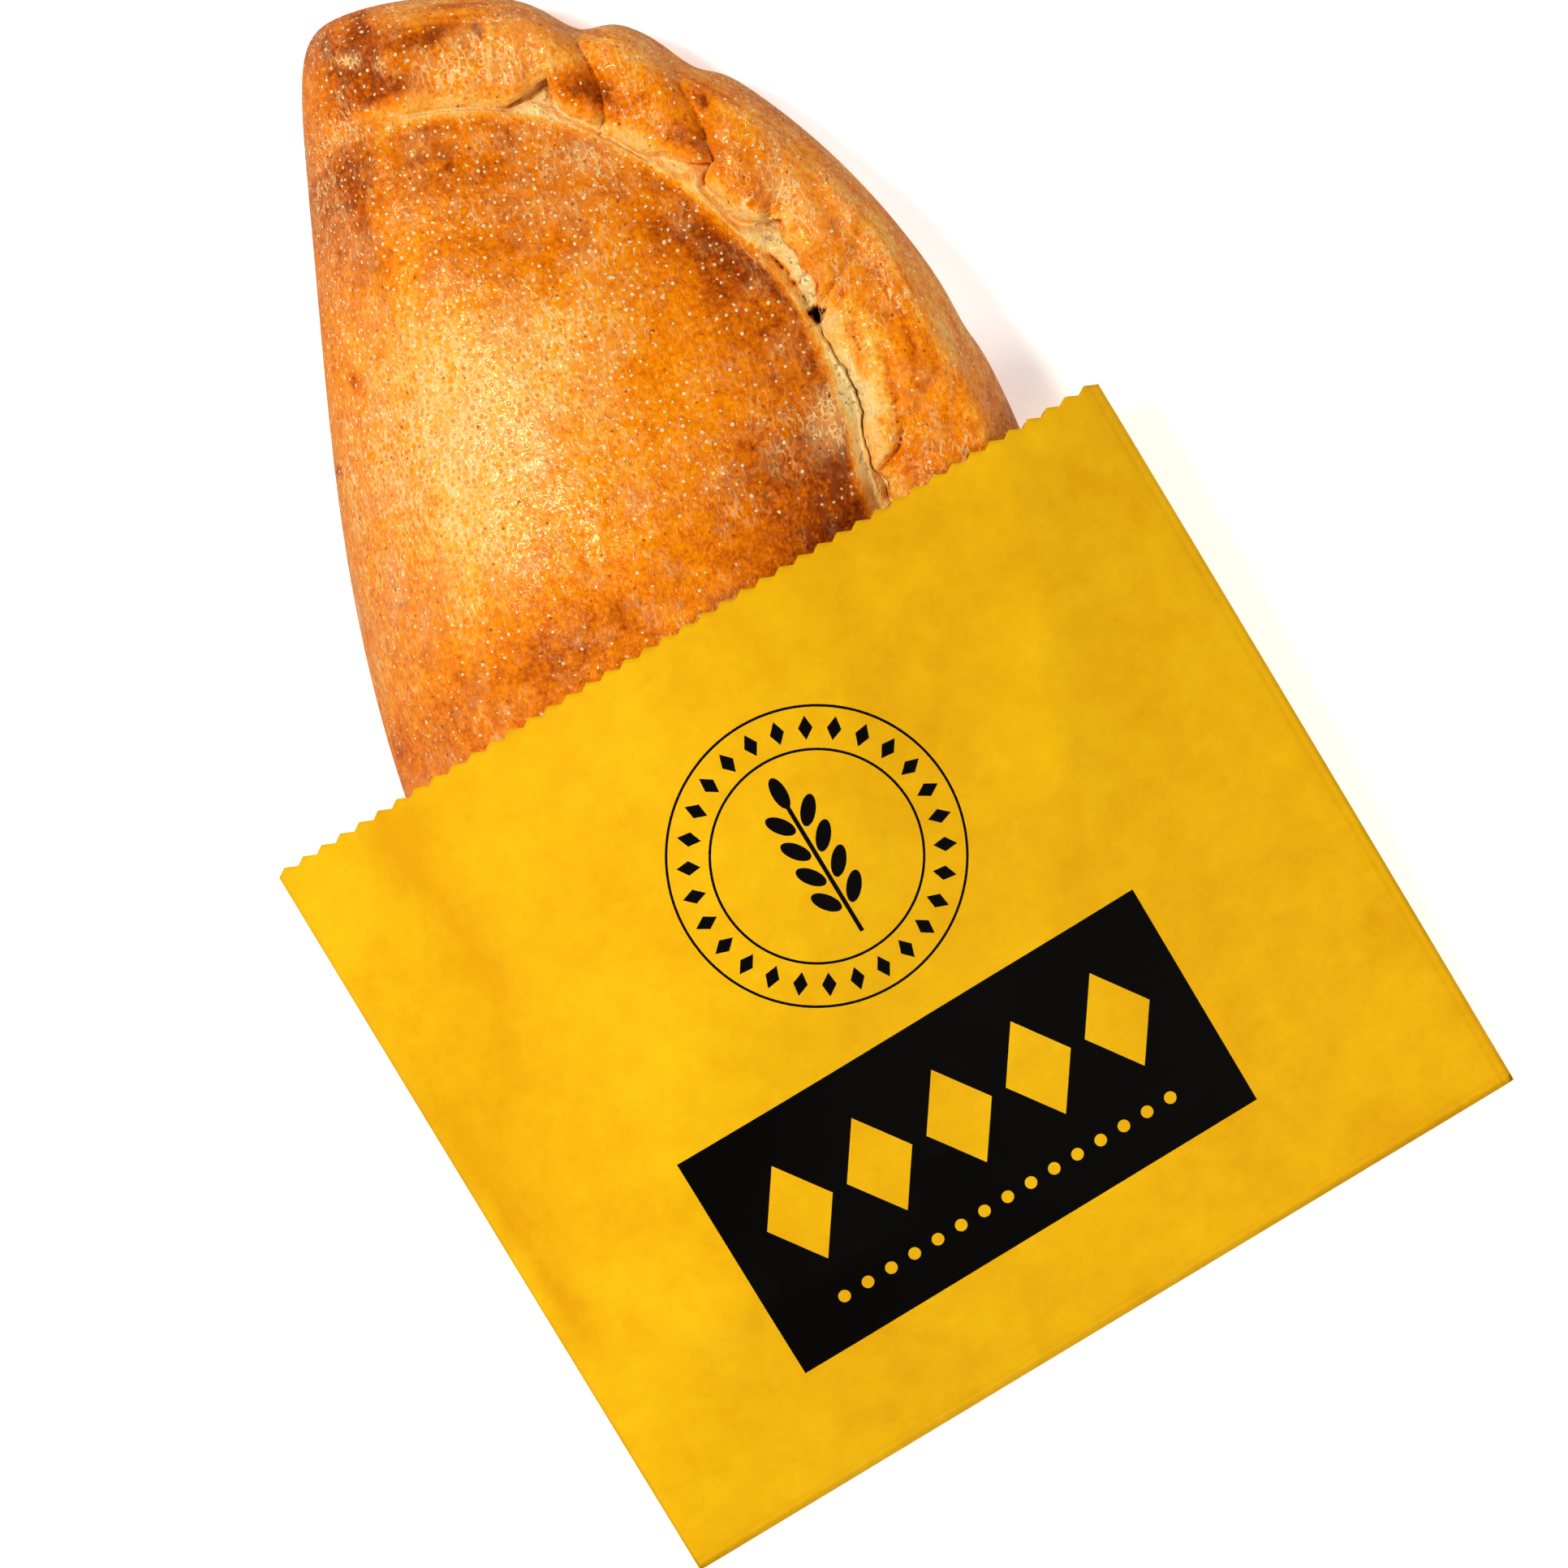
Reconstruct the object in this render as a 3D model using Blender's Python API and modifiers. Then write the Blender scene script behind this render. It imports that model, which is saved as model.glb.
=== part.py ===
"""A baked, side-crimped pasty lying in a flat paper bag with a toothed mouth.

Metres, +Z up. +X runs along the bag's mouth and +Y from the bag's foot to the pasty's
free end. The origin is at the middle of the object's footprint, on the table.
Run with: blender --background --python part.py
"""

import math

import bmesh
import bpy
import numpy as np
from mathutils import Matrix, Vector
from mathutils.bvhtree import BVHTree

MM = 0.001

# ---- pasty, in its own frame: x across from the folded side to the crimp, y along it
PASTY_LENGTH = 220 * MM
PASTY_WIDTH = 111 * MM
CROWN_HEIGHT = 44 * MM
CROWN_X = 44 * MM  # the crown's distance from the folded side
CROWN_OVAL = (46 * MM, 84 * MM)  # half-axes of the oval the crown's contours start from
TIP_X = 25.4 * MM  # and that of the line joining the two tips
FOLD_SAG = 13.4 * MM  # how far the folded side draws in towards the tips
CORNER_POWER = 7  # larger gives a sharper corner where the two sides meet
SEAM_POWER = 2.35  # of the superellipse the crimp's inner edge follows
CRIMP_WIDTH_AT_TIP = 18.5 * MM
CRIMP_WIDTH_AT_MIDDLE = 25 * MM
CRIMP_LIP_AT_TIP = 17 * MM  # height of the pastry where it dips under the crimp
CRIMP_LIP_AT_MIDDLE = 26 * MM
FOLDS = 18  # folds along the crimp
FOLD_DEPTH = 2.6 * MM
FOLD_BULGE = 1.1 * MM  # how far each fold swells past the outline
FOLD_SLANT = 0.55  # of a fold's length, from the crimp's inner edge to its outer one
NOSE_REACH = 2.6 * MM  # how far each fold's nose leans over the seam

# ---- how the pasty lies in the bag
PASTY_TURN = math.radians(-15.6)
PASTY_X = 26.2 * MM  # the folded side's middle, from the bag's left fold
PASTY_Y = 11.8 * MM  # and from the mouth, outwards

# ---- bag, in its own frame: x from the left fold, y outwards from the mouth
BAG_WIDTH = 150.8 * MM
BAG_DEPTH = 129.5 * MM
PAPER = 0.5 * MM
SIDE_FOLD_RISE = 14 * MM  # height of the side folds at the mouth
FOOT_GAP = 0.7 * MM  # between the two sheets close to the foot fold
LEFT_SLOPE_AT_MOUTH = 22 * MM  # width over which the back sheet climbs to a side fold
LEFT_SLOPE_AT_FOOT = 11 * MM
RIGHT_SLOPE = 16 * MM
TEETH = 43
TOOTH_DEPTH = 0.9 * MM
PASTY_TO_PAPER = 0.3 * MM
FRONT_CLEARANCE = 0.9 * MM

# ---- mesh density
CRIMP_RAYS = 92
FOLD_RAYS = 26
DOME_RINGS = 9
BAND_RINGS = 13
BASE_RINGS = 6
BAG_COLUMNS = 22
BAG_ROWS = 16


def smoothstep(value, low, high):
    share = np.clip((np.asarray(value, float) - low) / (high - low), 0, 1)
    return share * share * (3 - 2 * share)


# ---------------------------------------------------------------- pasty outline


def fold_line(y):
    """The folded side: a shallow curve that draws in towards both tips."""
    along = np.clip(np.abs(y) / (PASTY_LENGTH / 2), 0, 1)
    return FOLD_SAG * (1 - np.cos(along * math.pi / 2) ** 1.6)


def outline_measure(x, y):
    """Under 1 inside the pasty's outline, 1 on it."""
    along = np.abs(y) / (PASTY_LENGTH / 2)
    across = np.maximum(x - TIP_X, 0) / (PASTY_WIDTH - TIP_X)
    crimp_side = np.hypot(across, along)
    fold_side = np.maximum(CROWN_X - x, 0) / (CROWN_X - fold_line(y))
    return (crimp_side**CORNER_POWER + fold_side**CORNER_POWER) ** (1 / CORNER_POWER)


def seam_measure(x, y):
    """Under 1 on the body, 1 where it meets the crimp's inner edge."""
    along = np.abs(y) / (PASTY_LENGTH / 2 - CRIMP_WIDTH_AT_TIP)
    across = np.maximum(x - TIP_X, 0) / (PASTY_WIDTH - TIP_X - CRIMP_WIDTH_AT_MIDDLE)
    return (across**SEAM_POWER + along**SEAM_POWER) ** (1 / SEAM_POWER)


def reach_along(angle, measure):
    """Distance from the crown to where the measure is 1, by bisection."""
    low = np.zeros_like(angle)
    high = np.full_like(angle, PASTY_LENGTH)
    for _ in range(40):
        middle = (low + high) / 2
        x = CROWN_X + middle * np.cos(angle)
        y = middle * np.sin(angle)
        inside = measure(x, y) < 1
        low = np.where(inside, middle, low)
        high = np.where(inside, high, middle)
    return (low + high) / 2


def crimp_share(x, y):
    """1 where the edge is crimped, 0 along the folded side, by outline point."""
    past_corner = smoothstep(np.abs(y), 84 * MM, 95 * MM)
    curved_side = smoothstep(x, 20 * MM, 30 * MM)
    return np.maximum(past_corner, curved_side)


def rays():
    """The directions from the crown, spaced evenly along each side of the outline."""
    fine = np.linspace(-math.pi, math.pi, 4001)
    radius = reach_along(fine, outline_measure)
    x = CROWN_X + radius * np.cos(fine)
    y = radius * np.sin(fine)
    step = np.hypot(np.diff(x), np.diff(y))
    share = crimp_share(x[1:], y[1:])
    crimp_length = (step * share).sum()
    fold_length = (step * (1 - share)).sum()
    weight = share * CRIMP_RAYS / crimp_length + (1 - share) * FOLD_RAYS / fold_length
    count = CRIMP_RAYS + FOLD_RAYS
    passed = np.concatenate([[0], np.cumsum(step * weight)])
    passed *= count / passed[-1]
    angle = np.interp(np.arange(count), passed, fine)
    travelled = np.concatenate([[0], np.cumsum(step)])
    return angle, np.interp(angle, fine, travelled), crimp_length


# ---------------------------------------------------------------- pasty section


def spline(points, share):
    """A Catmull-Rom curve through the points, at a share of the way along them."""
    last = len(points) - 1
    place = min(max(share * last, 0), last - 1e-9)
    index = int(place)
    part = place - index
    before, start, end, after = (
        points[min(max(index + offset, 0), last)] for offset in (-1, 0, 1, 2)
    )
    return 0.5 * (
        2 * start
        + (end - before) * part
        + (2 * before - 5 * start + 4 * end - after) * part**2
        + (3 * start - before - 3 * end + after) * part**3
    )


def crimp_section(width, lip):
    """Outwards from the seam, in mm: under the body's edge, over the roll, to the base."""
    return [
        (0, lip),
        (1.6, lip - 6.5),
        (3.6, lip - 1.8),
        (7.5, lip + 1.2),
        (width * 0.62, lip),
        (width - 2.2, lip * 0.62),
        (width, lip * 0.36),
        (width - 2.6, 2.6),
        (width - 7.5, 0),
    ]


FOLD_SECTION = [
    (0, 34),
    (4, 30.4),
    (7.4, 26.6),
    (10.4, 22.4),
    (13, 17.6),
    (15.1, 12.4),
    (16, 7.6),
    (15, 2.4),
    (11.5, 0),
]


def fold_wave(travelled, crimp_length, across):
    """A fold's rise and sudden drop: -0.5 to 0.5, slanting across the crimp."""
    phase = travelled / crimp_length * FOLDS - across * FOLD_SLANT
    part = phase - np.floor(phase)
    return np.where(part < 0.78, part / 0.78, (1 - part) / 0.22) - 0.5


def section_tables():
    """For each ray: cos, sin, the seam's distance and the band's (reach, height) list."""
    angle, travelled, crimp_length = rays()
    outline = reach_along(angle, outline_measure)
    seam = reach_along(angle, seam_measure)
    x = CROWN_X + outline * np.cos(angle)
    y = outline * np.sin(angle)
    share = crimp_share(x, y)
    to_middle = smoothstep(1 - np.abs(y) / (PASTY_LENGTH / 2), 0, 0.85)
    width = np.maximum(outline - seam, 11 * MM)
    lip = CRIMP_LIP_AT_TIP + (CRIMP_LIP_AT_MIDDLE - CRIMP_LIP_AT_TIP) * to_middle
    fold_points = np.array(FOLD_SECTION) * MM
    across, along = np.cos(angle) / CROWN_OVAL[0], np.sin(angle) / CROWN_OVAL[1]
    oval = 1 / np.hypot(across, along)
    tables = []
    for ray in range(len(angle)):
        crimp_points = np.array(crimp_section(width[ray] / MM, lip[ray] / MM)) * MM
        for index in range(2, 7):
            wave = fold_wave(travelled[ray], crimp_length, index / 6)
            lean = -NOSE_REACH if index < 4 else FOLD_BULGE
            crimp_points[index] += (lean * wave, FOLD_DEPTH * wave * (index < 6))
        low_fold = fold_points * (1, 0.5 + 0.5 * to_middle[ray])
        reach = width[ray] * share[ray] + fold_points[-3, 0] * (1 - share[ray])
        points = low_fold + (crimp_points - low_fold) * share[ray]
        tables.append(
            {
                "cos": math.cos(angle[ray]),
                "sin": math.sin(angle[ray]),
                "seam": outline[ray] - reach,
                "oval": oval[ray],
                "band": points,
            }
        )
    return tables


def base_height(y_in_bag):
    """The underside lies on the table outside the bag and on the paper inside it."""
    on_paper = PAPER + PASTY_TO_PAPER
    return on_paper * (1 - smoothstep(y_in_bag, 10 * MM, 34 * MM))


def pasty_to_bag():
    return Matrix.Translation((PASTY_X, PASTY_Y, 0)) @ Matrix.Rotation(
        PASTY_TURN, 4, "Z"
    )


def pasty_point(table, ring):
    """Where a ring crosses a ray, counted from the crown over the edge to the base."""
    if ring <= DOME_RINGS:
        share = ring / DOME_RINGS
        lip = table["band"][0][1]
        reach = share * (table["oval"] + (table["seam"] - table["oval"]) * share**1.5)
        height = lip + (CROWN_HEIGHT - lip) * (1 - share**2.6) ** 0.9
    elif ring <= DOME_RINGS + BAND_RINGS:
        share = (ring - DOME_RINGS) / BAND_RINGS
        outwards, height = spline(table["band"], share)
        reach = table["seam"] + outwards
    else:
        share = (ring - DOME_RINGS - BAND_RINGS) / BASE_RINGS
        outwards, height = table["band"][-1]
        reach = (table["seam"] + outwards) * (1 - share)
    return Vector((CROWN_X + reach * table["cos"], reach * table["sin"], height))


def build_pasty(collection, material):
    """A sphere whose rings run from the crown, over the crimp, to the middle of the base."""
    tables = section_tables()
    segments = len(tables)
    ring_count = DOME_RINGS + BAND_RINGS + BASE_RINGS
    to_bag = pasty_to_bag()
    mesh_builder = bmesh.new()
    bmesh.ops.create_uvsphere(
        mesh_builder, u_segments=segments, v_segments=ring_count, radius=1
    )
    for vertex in mesh_builder.verts:
        polar = math.acos(max(-1, min(1, vertex.co.z)))
        turned = math.atan2(vertex.co.y, vertex.co.x) / (2 * math.pi)
        ring = round(polar / math.pi * ring_count)
        place = to_bag @ pasty_point(tables[round(turned * segments) % segments], ring)
        blend = min(place.z / (4 * MM), 1)  # the base's small step fades up the side
        place.z += base_height(place.y) * (1 - blend)
        vertex.co = place
    return finish_object("pasty", mesh_builder, collection, material)


# ---------------------------------------------------------------- bag


def side_fold_height(depth_share):
    return PAPER + SIDE_FOLD_RISE * (1 - depth_share**1.6)


def back_sheet_height(x, depth_share):
    """The back sheet lies on the table and climbs to the fold at each side."""
    fold = side_fold_height(depth_share)
    left = LEFT_SLOPE_AT_MOUTH + (LEFT_SLOPE_AT_FOOT - LEFT_SLOPE_AT_MOUTH) * depth_share
    climb = np.maximum(1 - x / left, 1 - (BAG_WIDTH - x) / RIGHT_SLOPE)
    return PAPER + (fold - PAPER) * np.maximum(climb, 0) ** 1.6


def highest_near(tree, x, y, reach):
    """The top of the pasty within reach of a point, or 0 where there is none."""
    heights = [0.0]
    for dx in (-reach, 0, reach):
        for dy in (-reach, 0, reach):
            hit = tree.ray_cast(Vector((x + dx, y + dy, 1)), Vector((0, 0, -1)))[0]
            if hit is not None:
                heights.append(hit.z)
    return max(heights)


def front_sheet_heights(tree, columns, rows):
    """A sheet pulled taut over the pasty between the side folds and the foot fold."""
    x = np.linspace(0, BAG_WIDTH, columns + 1)
    share = np.linspace(0, 1, rows + 1)
    reach = BAG_WIDTH / columns * 0.5
    floor = np.zeros((rows + 1, columns + 1))
    for row in range(rows + 1):
        for column in range(columns + 1):
            top = highest_near(tree, x[column], -share[row] * BAG_DEPTH, reach)
            back = back_sheet_height(x[column], share[row]) + FOOT_GAP
            floor[row, column] = max(top + FRONT_CLEARANCE, back)
    folds = side_fold_height(share)
    height = np.maximum(floor, folds[:, None])
    for _ in range(1500):
        padded = np.vstack([height[1], height, height[-1]])
        middle = (
            padded[:-2, 1:-1] + padded[2:, 1:-1] + height[:, :-2] + height[:, 2:]
        ) / 4
        height[:, 1:-1] = np.maximum(middle, floor[:, 1:-1])
        height[:, 0] = height[:, -1] = folds
        height[-1] = PAPER
    return height


def build_bag(collection, material, tree):
    """One sheet of paper: a tube flattened into front and back, closed along the foot."""
    front = front_sheet_heights(tree, BAG_COLUMNS, BAG_ROWS)
    mesh_builder = bmesh.new()
    bmesh.ops.create_grid(
        mesh_builder, x_segments=2 * BAG_COLUMNS, y_segments=BAG_ROWS, size=1
    )
    for vertex in mesh_builder.verts:
        around = round((vertex.co.x + 1) / 2 * 2 * BAG_COLUMNS)
        row = round((1 - vertex.co.y) / 2 * BAG_ROWS)
        share = row / BAG_ROWS
        column = around if around <= BAG_COLUMNS else 2 * BAG_COLUMNS - around
        x = BAG_WIDTH * column / BAG_COLUMNS
        if around <= BAG_COLUMNS:
            height = front[row, column]
        else:
            height = float(back_sheet_height(x, share))
        vertex.co = (x, -share * BAG_DEPTH, height)
    bmesh.ops.remove_doubles(mesh_builder, verts=mesh_builder.verts, dist=0.01 * MM)
    bag = finish_object("bag", mesh_builder, collection, material)
    wall = bag.modifiers.new("paper", "SOLIDIFY")
    wall.thickness = PAPER
    wall.offset = 1
    cut = bag.modifiers.new("toothed mouth", "BOOLEAN")
    cut.operation = "DIFFERENCE"
    return bag, cut


def build_tooth_cutter(collection):
    """A zigzag blade, taller than the bag, that trims both sheets at the mouth."""
    margin = 6 * MM
    pitch = BAG_WIDTH / TEETH
    outline = [(-margin, margin), (-margin, -TOOTH_DEPTH)]
    for tooth in range(TEETH + 1):
        outline.append((pitch * (tooth - 0.7), -TOOTH_DEPTH))
        outline.append((pitch * (tooth - 0.2), -0.02 * MM))
    outline += [(BAG_WIDTH + margin, -TOOTH_DEPTH), (BAG_WIDTH + margin, margin)]
    mesh_builder = bmesh.new()
    corners = [mesh_builder.verts.new((x, y, -margin)) for x, y in outline]
    blade = mesh_builder.faces.new(corners)
    raised = bmesh.ops.extrude_face_region(mesh_builder, geom=[blade])
    tops = [item for item in raised["geom"] if isinstance(item, bmesh.types.BMVert)]
    bmesh.ops.translate(mesh_builder, verts=tops, vec=(0, 0, CROWN_HEIGHT + 3 * margin))
    bmesh.ops.recalc_face_normals(mesh_builder, faces=mesh_builder.faces)
    cutter = finish_object("tooth_cutter", mesh_builder, collection, None)
    cutter.hide_render = True
    cutter.display_type = "WIRE"
    return cutter


# ---------------------------------------------------------------- scene


def finish_object(name, mesh_builder, collection, material):
    mesh = bpy.data.meshes.new(name)
    mesh_builder.to_mesh(mesh)
    mesh_builder.free()
    mesh.shade_smooth()
    if material:
        mesh.materials.append(material)
    made = bpy.data.objects.new(name, mesh)
    collection.objects.link(made)
    return made


def make_material(name, colour, roughness):
    material = bpy.data.materials.new(name)
    material.use_nodes = True
    shader = material.node_tree.nodes["Principled BSDF"]
    shader.inputs["Base Color"].default_value = (*colour, 1)
    shader.inputs["Roughness"].default_value = roughness
    shader.inputs["Metallic"].default_value = 0
    return material


def surface_tree(made):
    graph = bpy.context.evaluated_depsgraph_get()
    return BVHTree.FromObject(made, graph)


def centre_on_footprint(objects):
    """Moves everything so that the origin is at the middle of the footprint."""
    bpy.context.view_layer.update()
    graph = bpy.context.evaluated_depsgraph_get()
    corners = []
    for made in objects:
        if not made.hide_render:
            shape = made.evaluated_get(graph)
            corners += [shape.matrix_world @ Vector(c) for c in shape.bound_box]
    low = Vector(map(min, *corners))
    high = Vector(map(max, *corners))
    middle = (low + high) / 2
    for made in objects:
        made.location -= Vector((middle.x, middle.y, 0))


def main():
    for old in list(bpy.data.objects):
        bpy.data.objects.remove(old)
    parts = bpy.data.collections.new("pasty_in_bag")
    cutters = bpy.data.collections.new("cutters")
    bpy.context.scene.collection.children.link(parts)
    bpy.context.scene.collection.children.link(cutters)
    crust = make_material("baked_crust", (0.76, 0.33, 0.06), 0.4)
    paper = make_material("yellow_paper", (0.88, 0.46, 0.01), 0.6)
    pasty = build_pasty(parts, crust)
    bpy.context.view_layer.update()
    bag, cut = build_bag(parts, paper, surface_tree(pasty))
    cutter = build_tooth_cutter(cutters)
    cut.object = cutter
    centre_on_footprint([pasty, bag, cutter])


main()
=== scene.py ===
import math

import bmesh
import bpy
import numpy as np
from mathutils import Matrix, Vector, noise
from mathutils.bvhtree import BVHTree


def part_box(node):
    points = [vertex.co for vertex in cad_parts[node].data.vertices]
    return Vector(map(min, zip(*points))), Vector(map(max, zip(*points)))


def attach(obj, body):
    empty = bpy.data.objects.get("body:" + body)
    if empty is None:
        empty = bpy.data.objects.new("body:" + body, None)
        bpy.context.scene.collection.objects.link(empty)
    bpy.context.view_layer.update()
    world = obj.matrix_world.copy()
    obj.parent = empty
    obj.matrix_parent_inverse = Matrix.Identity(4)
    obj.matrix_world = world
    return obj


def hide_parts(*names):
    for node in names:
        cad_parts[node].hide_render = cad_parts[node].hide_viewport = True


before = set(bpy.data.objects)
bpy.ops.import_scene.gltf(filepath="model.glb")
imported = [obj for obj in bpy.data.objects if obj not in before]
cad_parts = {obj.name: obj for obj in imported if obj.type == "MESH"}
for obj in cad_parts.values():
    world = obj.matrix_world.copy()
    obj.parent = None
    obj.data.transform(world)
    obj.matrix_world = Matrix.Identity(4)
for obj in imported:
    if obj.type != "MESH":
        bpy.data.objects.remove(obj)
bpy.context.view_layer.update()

mm = 0.001
bagLow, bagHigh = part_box("bag")


def smoothStep(value, low, high):
    share = np.clip((np.asarray(value, float) - low) / (high - low), 0, 1)
    return share * share * (3 - 2 * share)


def between(value, start, rise, fall, end):
    # 1 from rise to fall, fading to 0 at start and at end
    return smoothStep(value, start, rise) * (1 - smoothStep(value, fall, end))


def bell(away, width, power=2):
    # 1 at no distance away, fading to 0 past the width
    return np.exp(-((np.abs(away) / width) ** power))


def noiseField(x, y, size, seed):
    # soft lumps between -1 and 1, with one lump about every size mm
    points = zip((x / size + seed * 17.3).ravel(), (y / size - seed * 9.1).ravel())
    values = [noise.noise(Vector((px, py, seed * 3.7))) for px, py in points]
    return np.array(values).reshape(x.shape)


def hump(x, y, patch):
    # 1 at the centre of an oval patch, fading to 0 outside it
    turn = math.radians(patch["turn"])
    right, up = x - patch["at"][0], y - patch["at"][1]
    across = (right * math.cos(turn) + up * math.sin(turn)) / patch["size"][0]
    along = (up * math.cos(turn) - right * math.sin(turn)) / patch["size"][1]
    return np.exp(-(across**2 + along**2))


def named(names, *rows):
    # gives each value in the rows its name
    return [dict(zip(names, row)) for row in rows]


def addObject(name, data):
    made = bpy.data.objects.new(name, data)
    bpy.context.scene.collection.objects.link(made)
    return made


def meshFrom(bm, name):
    mesh = bpy.data.meshes.new(name)
    bm.to_mesh(mesh)
    bm.free()
    return mesh


def pointsOf(mesh):
    points = np.empty(len(mesh.vertices) * 3, np.float32)
    mesh.vertices.foreach_get("co", points)
    return points.reshape(-1, 3)


def addLevel(mesh, name, values):
    # a number at each point, for the material
    layer = mesh.attributes.new(name, "FLOAT", "POINT")
    layer.data.foreach_set("value", values.astype(np.float32))


def finishPiece(name, mesh, material, replaced):
    made = addObject(name, mesh)
    mesh.materials.append(material)
    mesh.shade_smooth()
    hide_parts(replaced)
    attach(made, "root")
    return made


# The pasty's own plan, in mm: x across from the folded side to the crimp, y towards the
# free tip.

pasty = {
    "length": 220.0,
    "width": 111.0,
    "crownHeight": 44.0,
    "crownX": 50.0,
    "crownY": -14.0,
    "crownOval": (42, 84),  # half-axes of the oval that the crown's rings start from
    "tipX": 25.4,
    "foldSag": 13.4,  # how far the folded side draws in towards the tips
    "foldReach": 16.0,  # width of the folded side's steep part
    "seamPower": 2.35,
    "crimpAtTip": 18.5,
    "crimpAtMiddle": 25.0,
    "edgeAtTip": 19.0,  # height of the body's edge above the table
    "edgeAtMiddle": 27.0,
    "foldExtra": 5.0,  # how much higher the folded side's shoulder is
    "rays": 620,
    "domeRings": 66,
    "baseRings": 6,
    "turn": -15.6,
    "fromFold": 26.2,  # place in the bag, from its left fold
    "fromMouth": 11.8,
    "paperBelow": 0.8,  # how far the base is raised where it lies on the bag
}

# Each fold of the crimp, from the free tip on: where its nose ends along the seam, how
# far its crease sweeps back on the way to the outer edge, how deep the crease is at the
# nose and at the outer edge, at what share of the way it has faded, how wide the fold rolls
# down into it, how far the outline steps in there, and how toasted its nose is.
crimpFolds = named(
    ("at", "sweep", "nose", "outer", "fade", "lip", "notch", "toast"),
    (53.2, 10.7, 4.6, 3.6, 0.8, 5.0, 2.8, 0.36),
    (70.2, 14.0, 4.4, 2.8, 0.8, 4.5, 1.6, 0.23),
    (82.4, 9.0, 3.2, 1.0, 0.6, 3.0, 0.0, 0.1),
    (96.8, 8.0, 2.4, 0.8, 0.5, 3.6, 0.0, 0.16),
    (125.0, 22.0, 2.0, 0.7, 0.6, 5.0, 0.5, 0.05),
    (147.0, 13.0, 3.6, 2.2, 0.8, 5.0, 1.2, 0.25),
    (167.0, 12.0, 3.6, 2.0, 0.8, 5.0, 1.2, 0.3),
    (186.0, 11.0, 3.6, 2.2, 0.8, 5.0, 1.2, 0.2),
    (204.0, 11.0, 3.6, 2.0, 0.8, 5.0, 1.2, 0.3),
    (221.0, 10.0, 3.6, 2.0, 0.8, 5.0, 1.2, 0.25),
    (237.0, 9.0, 3.4, 2.0, 0.8, 4.5, 1.2, 0.2),
    (262.0, 6.0, 0.0, 0.0, 0.8, 4.5, 0.0, 0.0),
)

# Lines in the crust: the way they run, half-width, height (or depth) and how much browner:
# real brown streaks, painted shade in the dents and painted light along the raised ones.
crustLines = named(
    ("way", "width", "height", "brownAndShade"),
    ([(60.6, 82.0), (63.4, 82.5), (66.4, 83.3)], 0.8, -1.4, 0.12),
    ([(28, 91.8), (21.7, 92.7), (16.3, 89.2), (11, 85.5)], 0.9, -1.3, -0.1),
    ([(27, 108), (25.5, 103), (25, 99)], 1.7, -0.9, 0.14),
    ([(20, 104), (22, 98), (21, 94)], 1.8, -0.5, 0.12),
    ([(45.9, 101), (43.8, 93)], 0.6, 0.5, -0.22),
    ([(51.3, 97.2), (49.5, 90.5)], 0.6, -0.35, 0.05),
    ([(54, 96.5), (52, 90)], 0.6, 0.3, -0.06),
    ([(33, 102), (41, 103.5)], 1.1, -0.5, 0.16),
    ([(71.2, 58.5), (72.7, 55.7), (74.9, 50.8)], 0.6, -0.3, 0.24),
    ([(74.5, 57), (76.1, 53.4), (78, 48.4)], 0.7, -0.2, 0.18),
    ([(78.5, 48.6), (80.8, 44.1), (82.2, 40.3)], 0.5, -0.2, 0.18),
    ([(84.8, 44.1), (87.2, 44.4), (88.2, 45.7)], 0.6, -1.0, 0.1),
    ([(82.6, 63.8), (81.8, 57.4)], 0.4, -0.4, 0.2),
    ([(84.8, 63.0), (84.6, 58.8)], 0.35, -0.35, 0.18),
    ([(80.6, 66.5), (80.2, 61.5)], 0.35, -0.3, 0.12),
    ([(94, 49), (96.5, 40), (97, 33)], 0.5, -0.5, 0.14),
    ([(101, 46), (104, 37), (105, 30)], 0.6, -0.4, 0.1),
    ([(85.7, 73.5), (89.2, 65.9), (90.4, 56)], 2.6, -1.3, 0.06),
    ([(91.5, 56), (94.2, 45), (94.7, 39)], 2.0, -0.8, 0.06),
)
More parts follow.
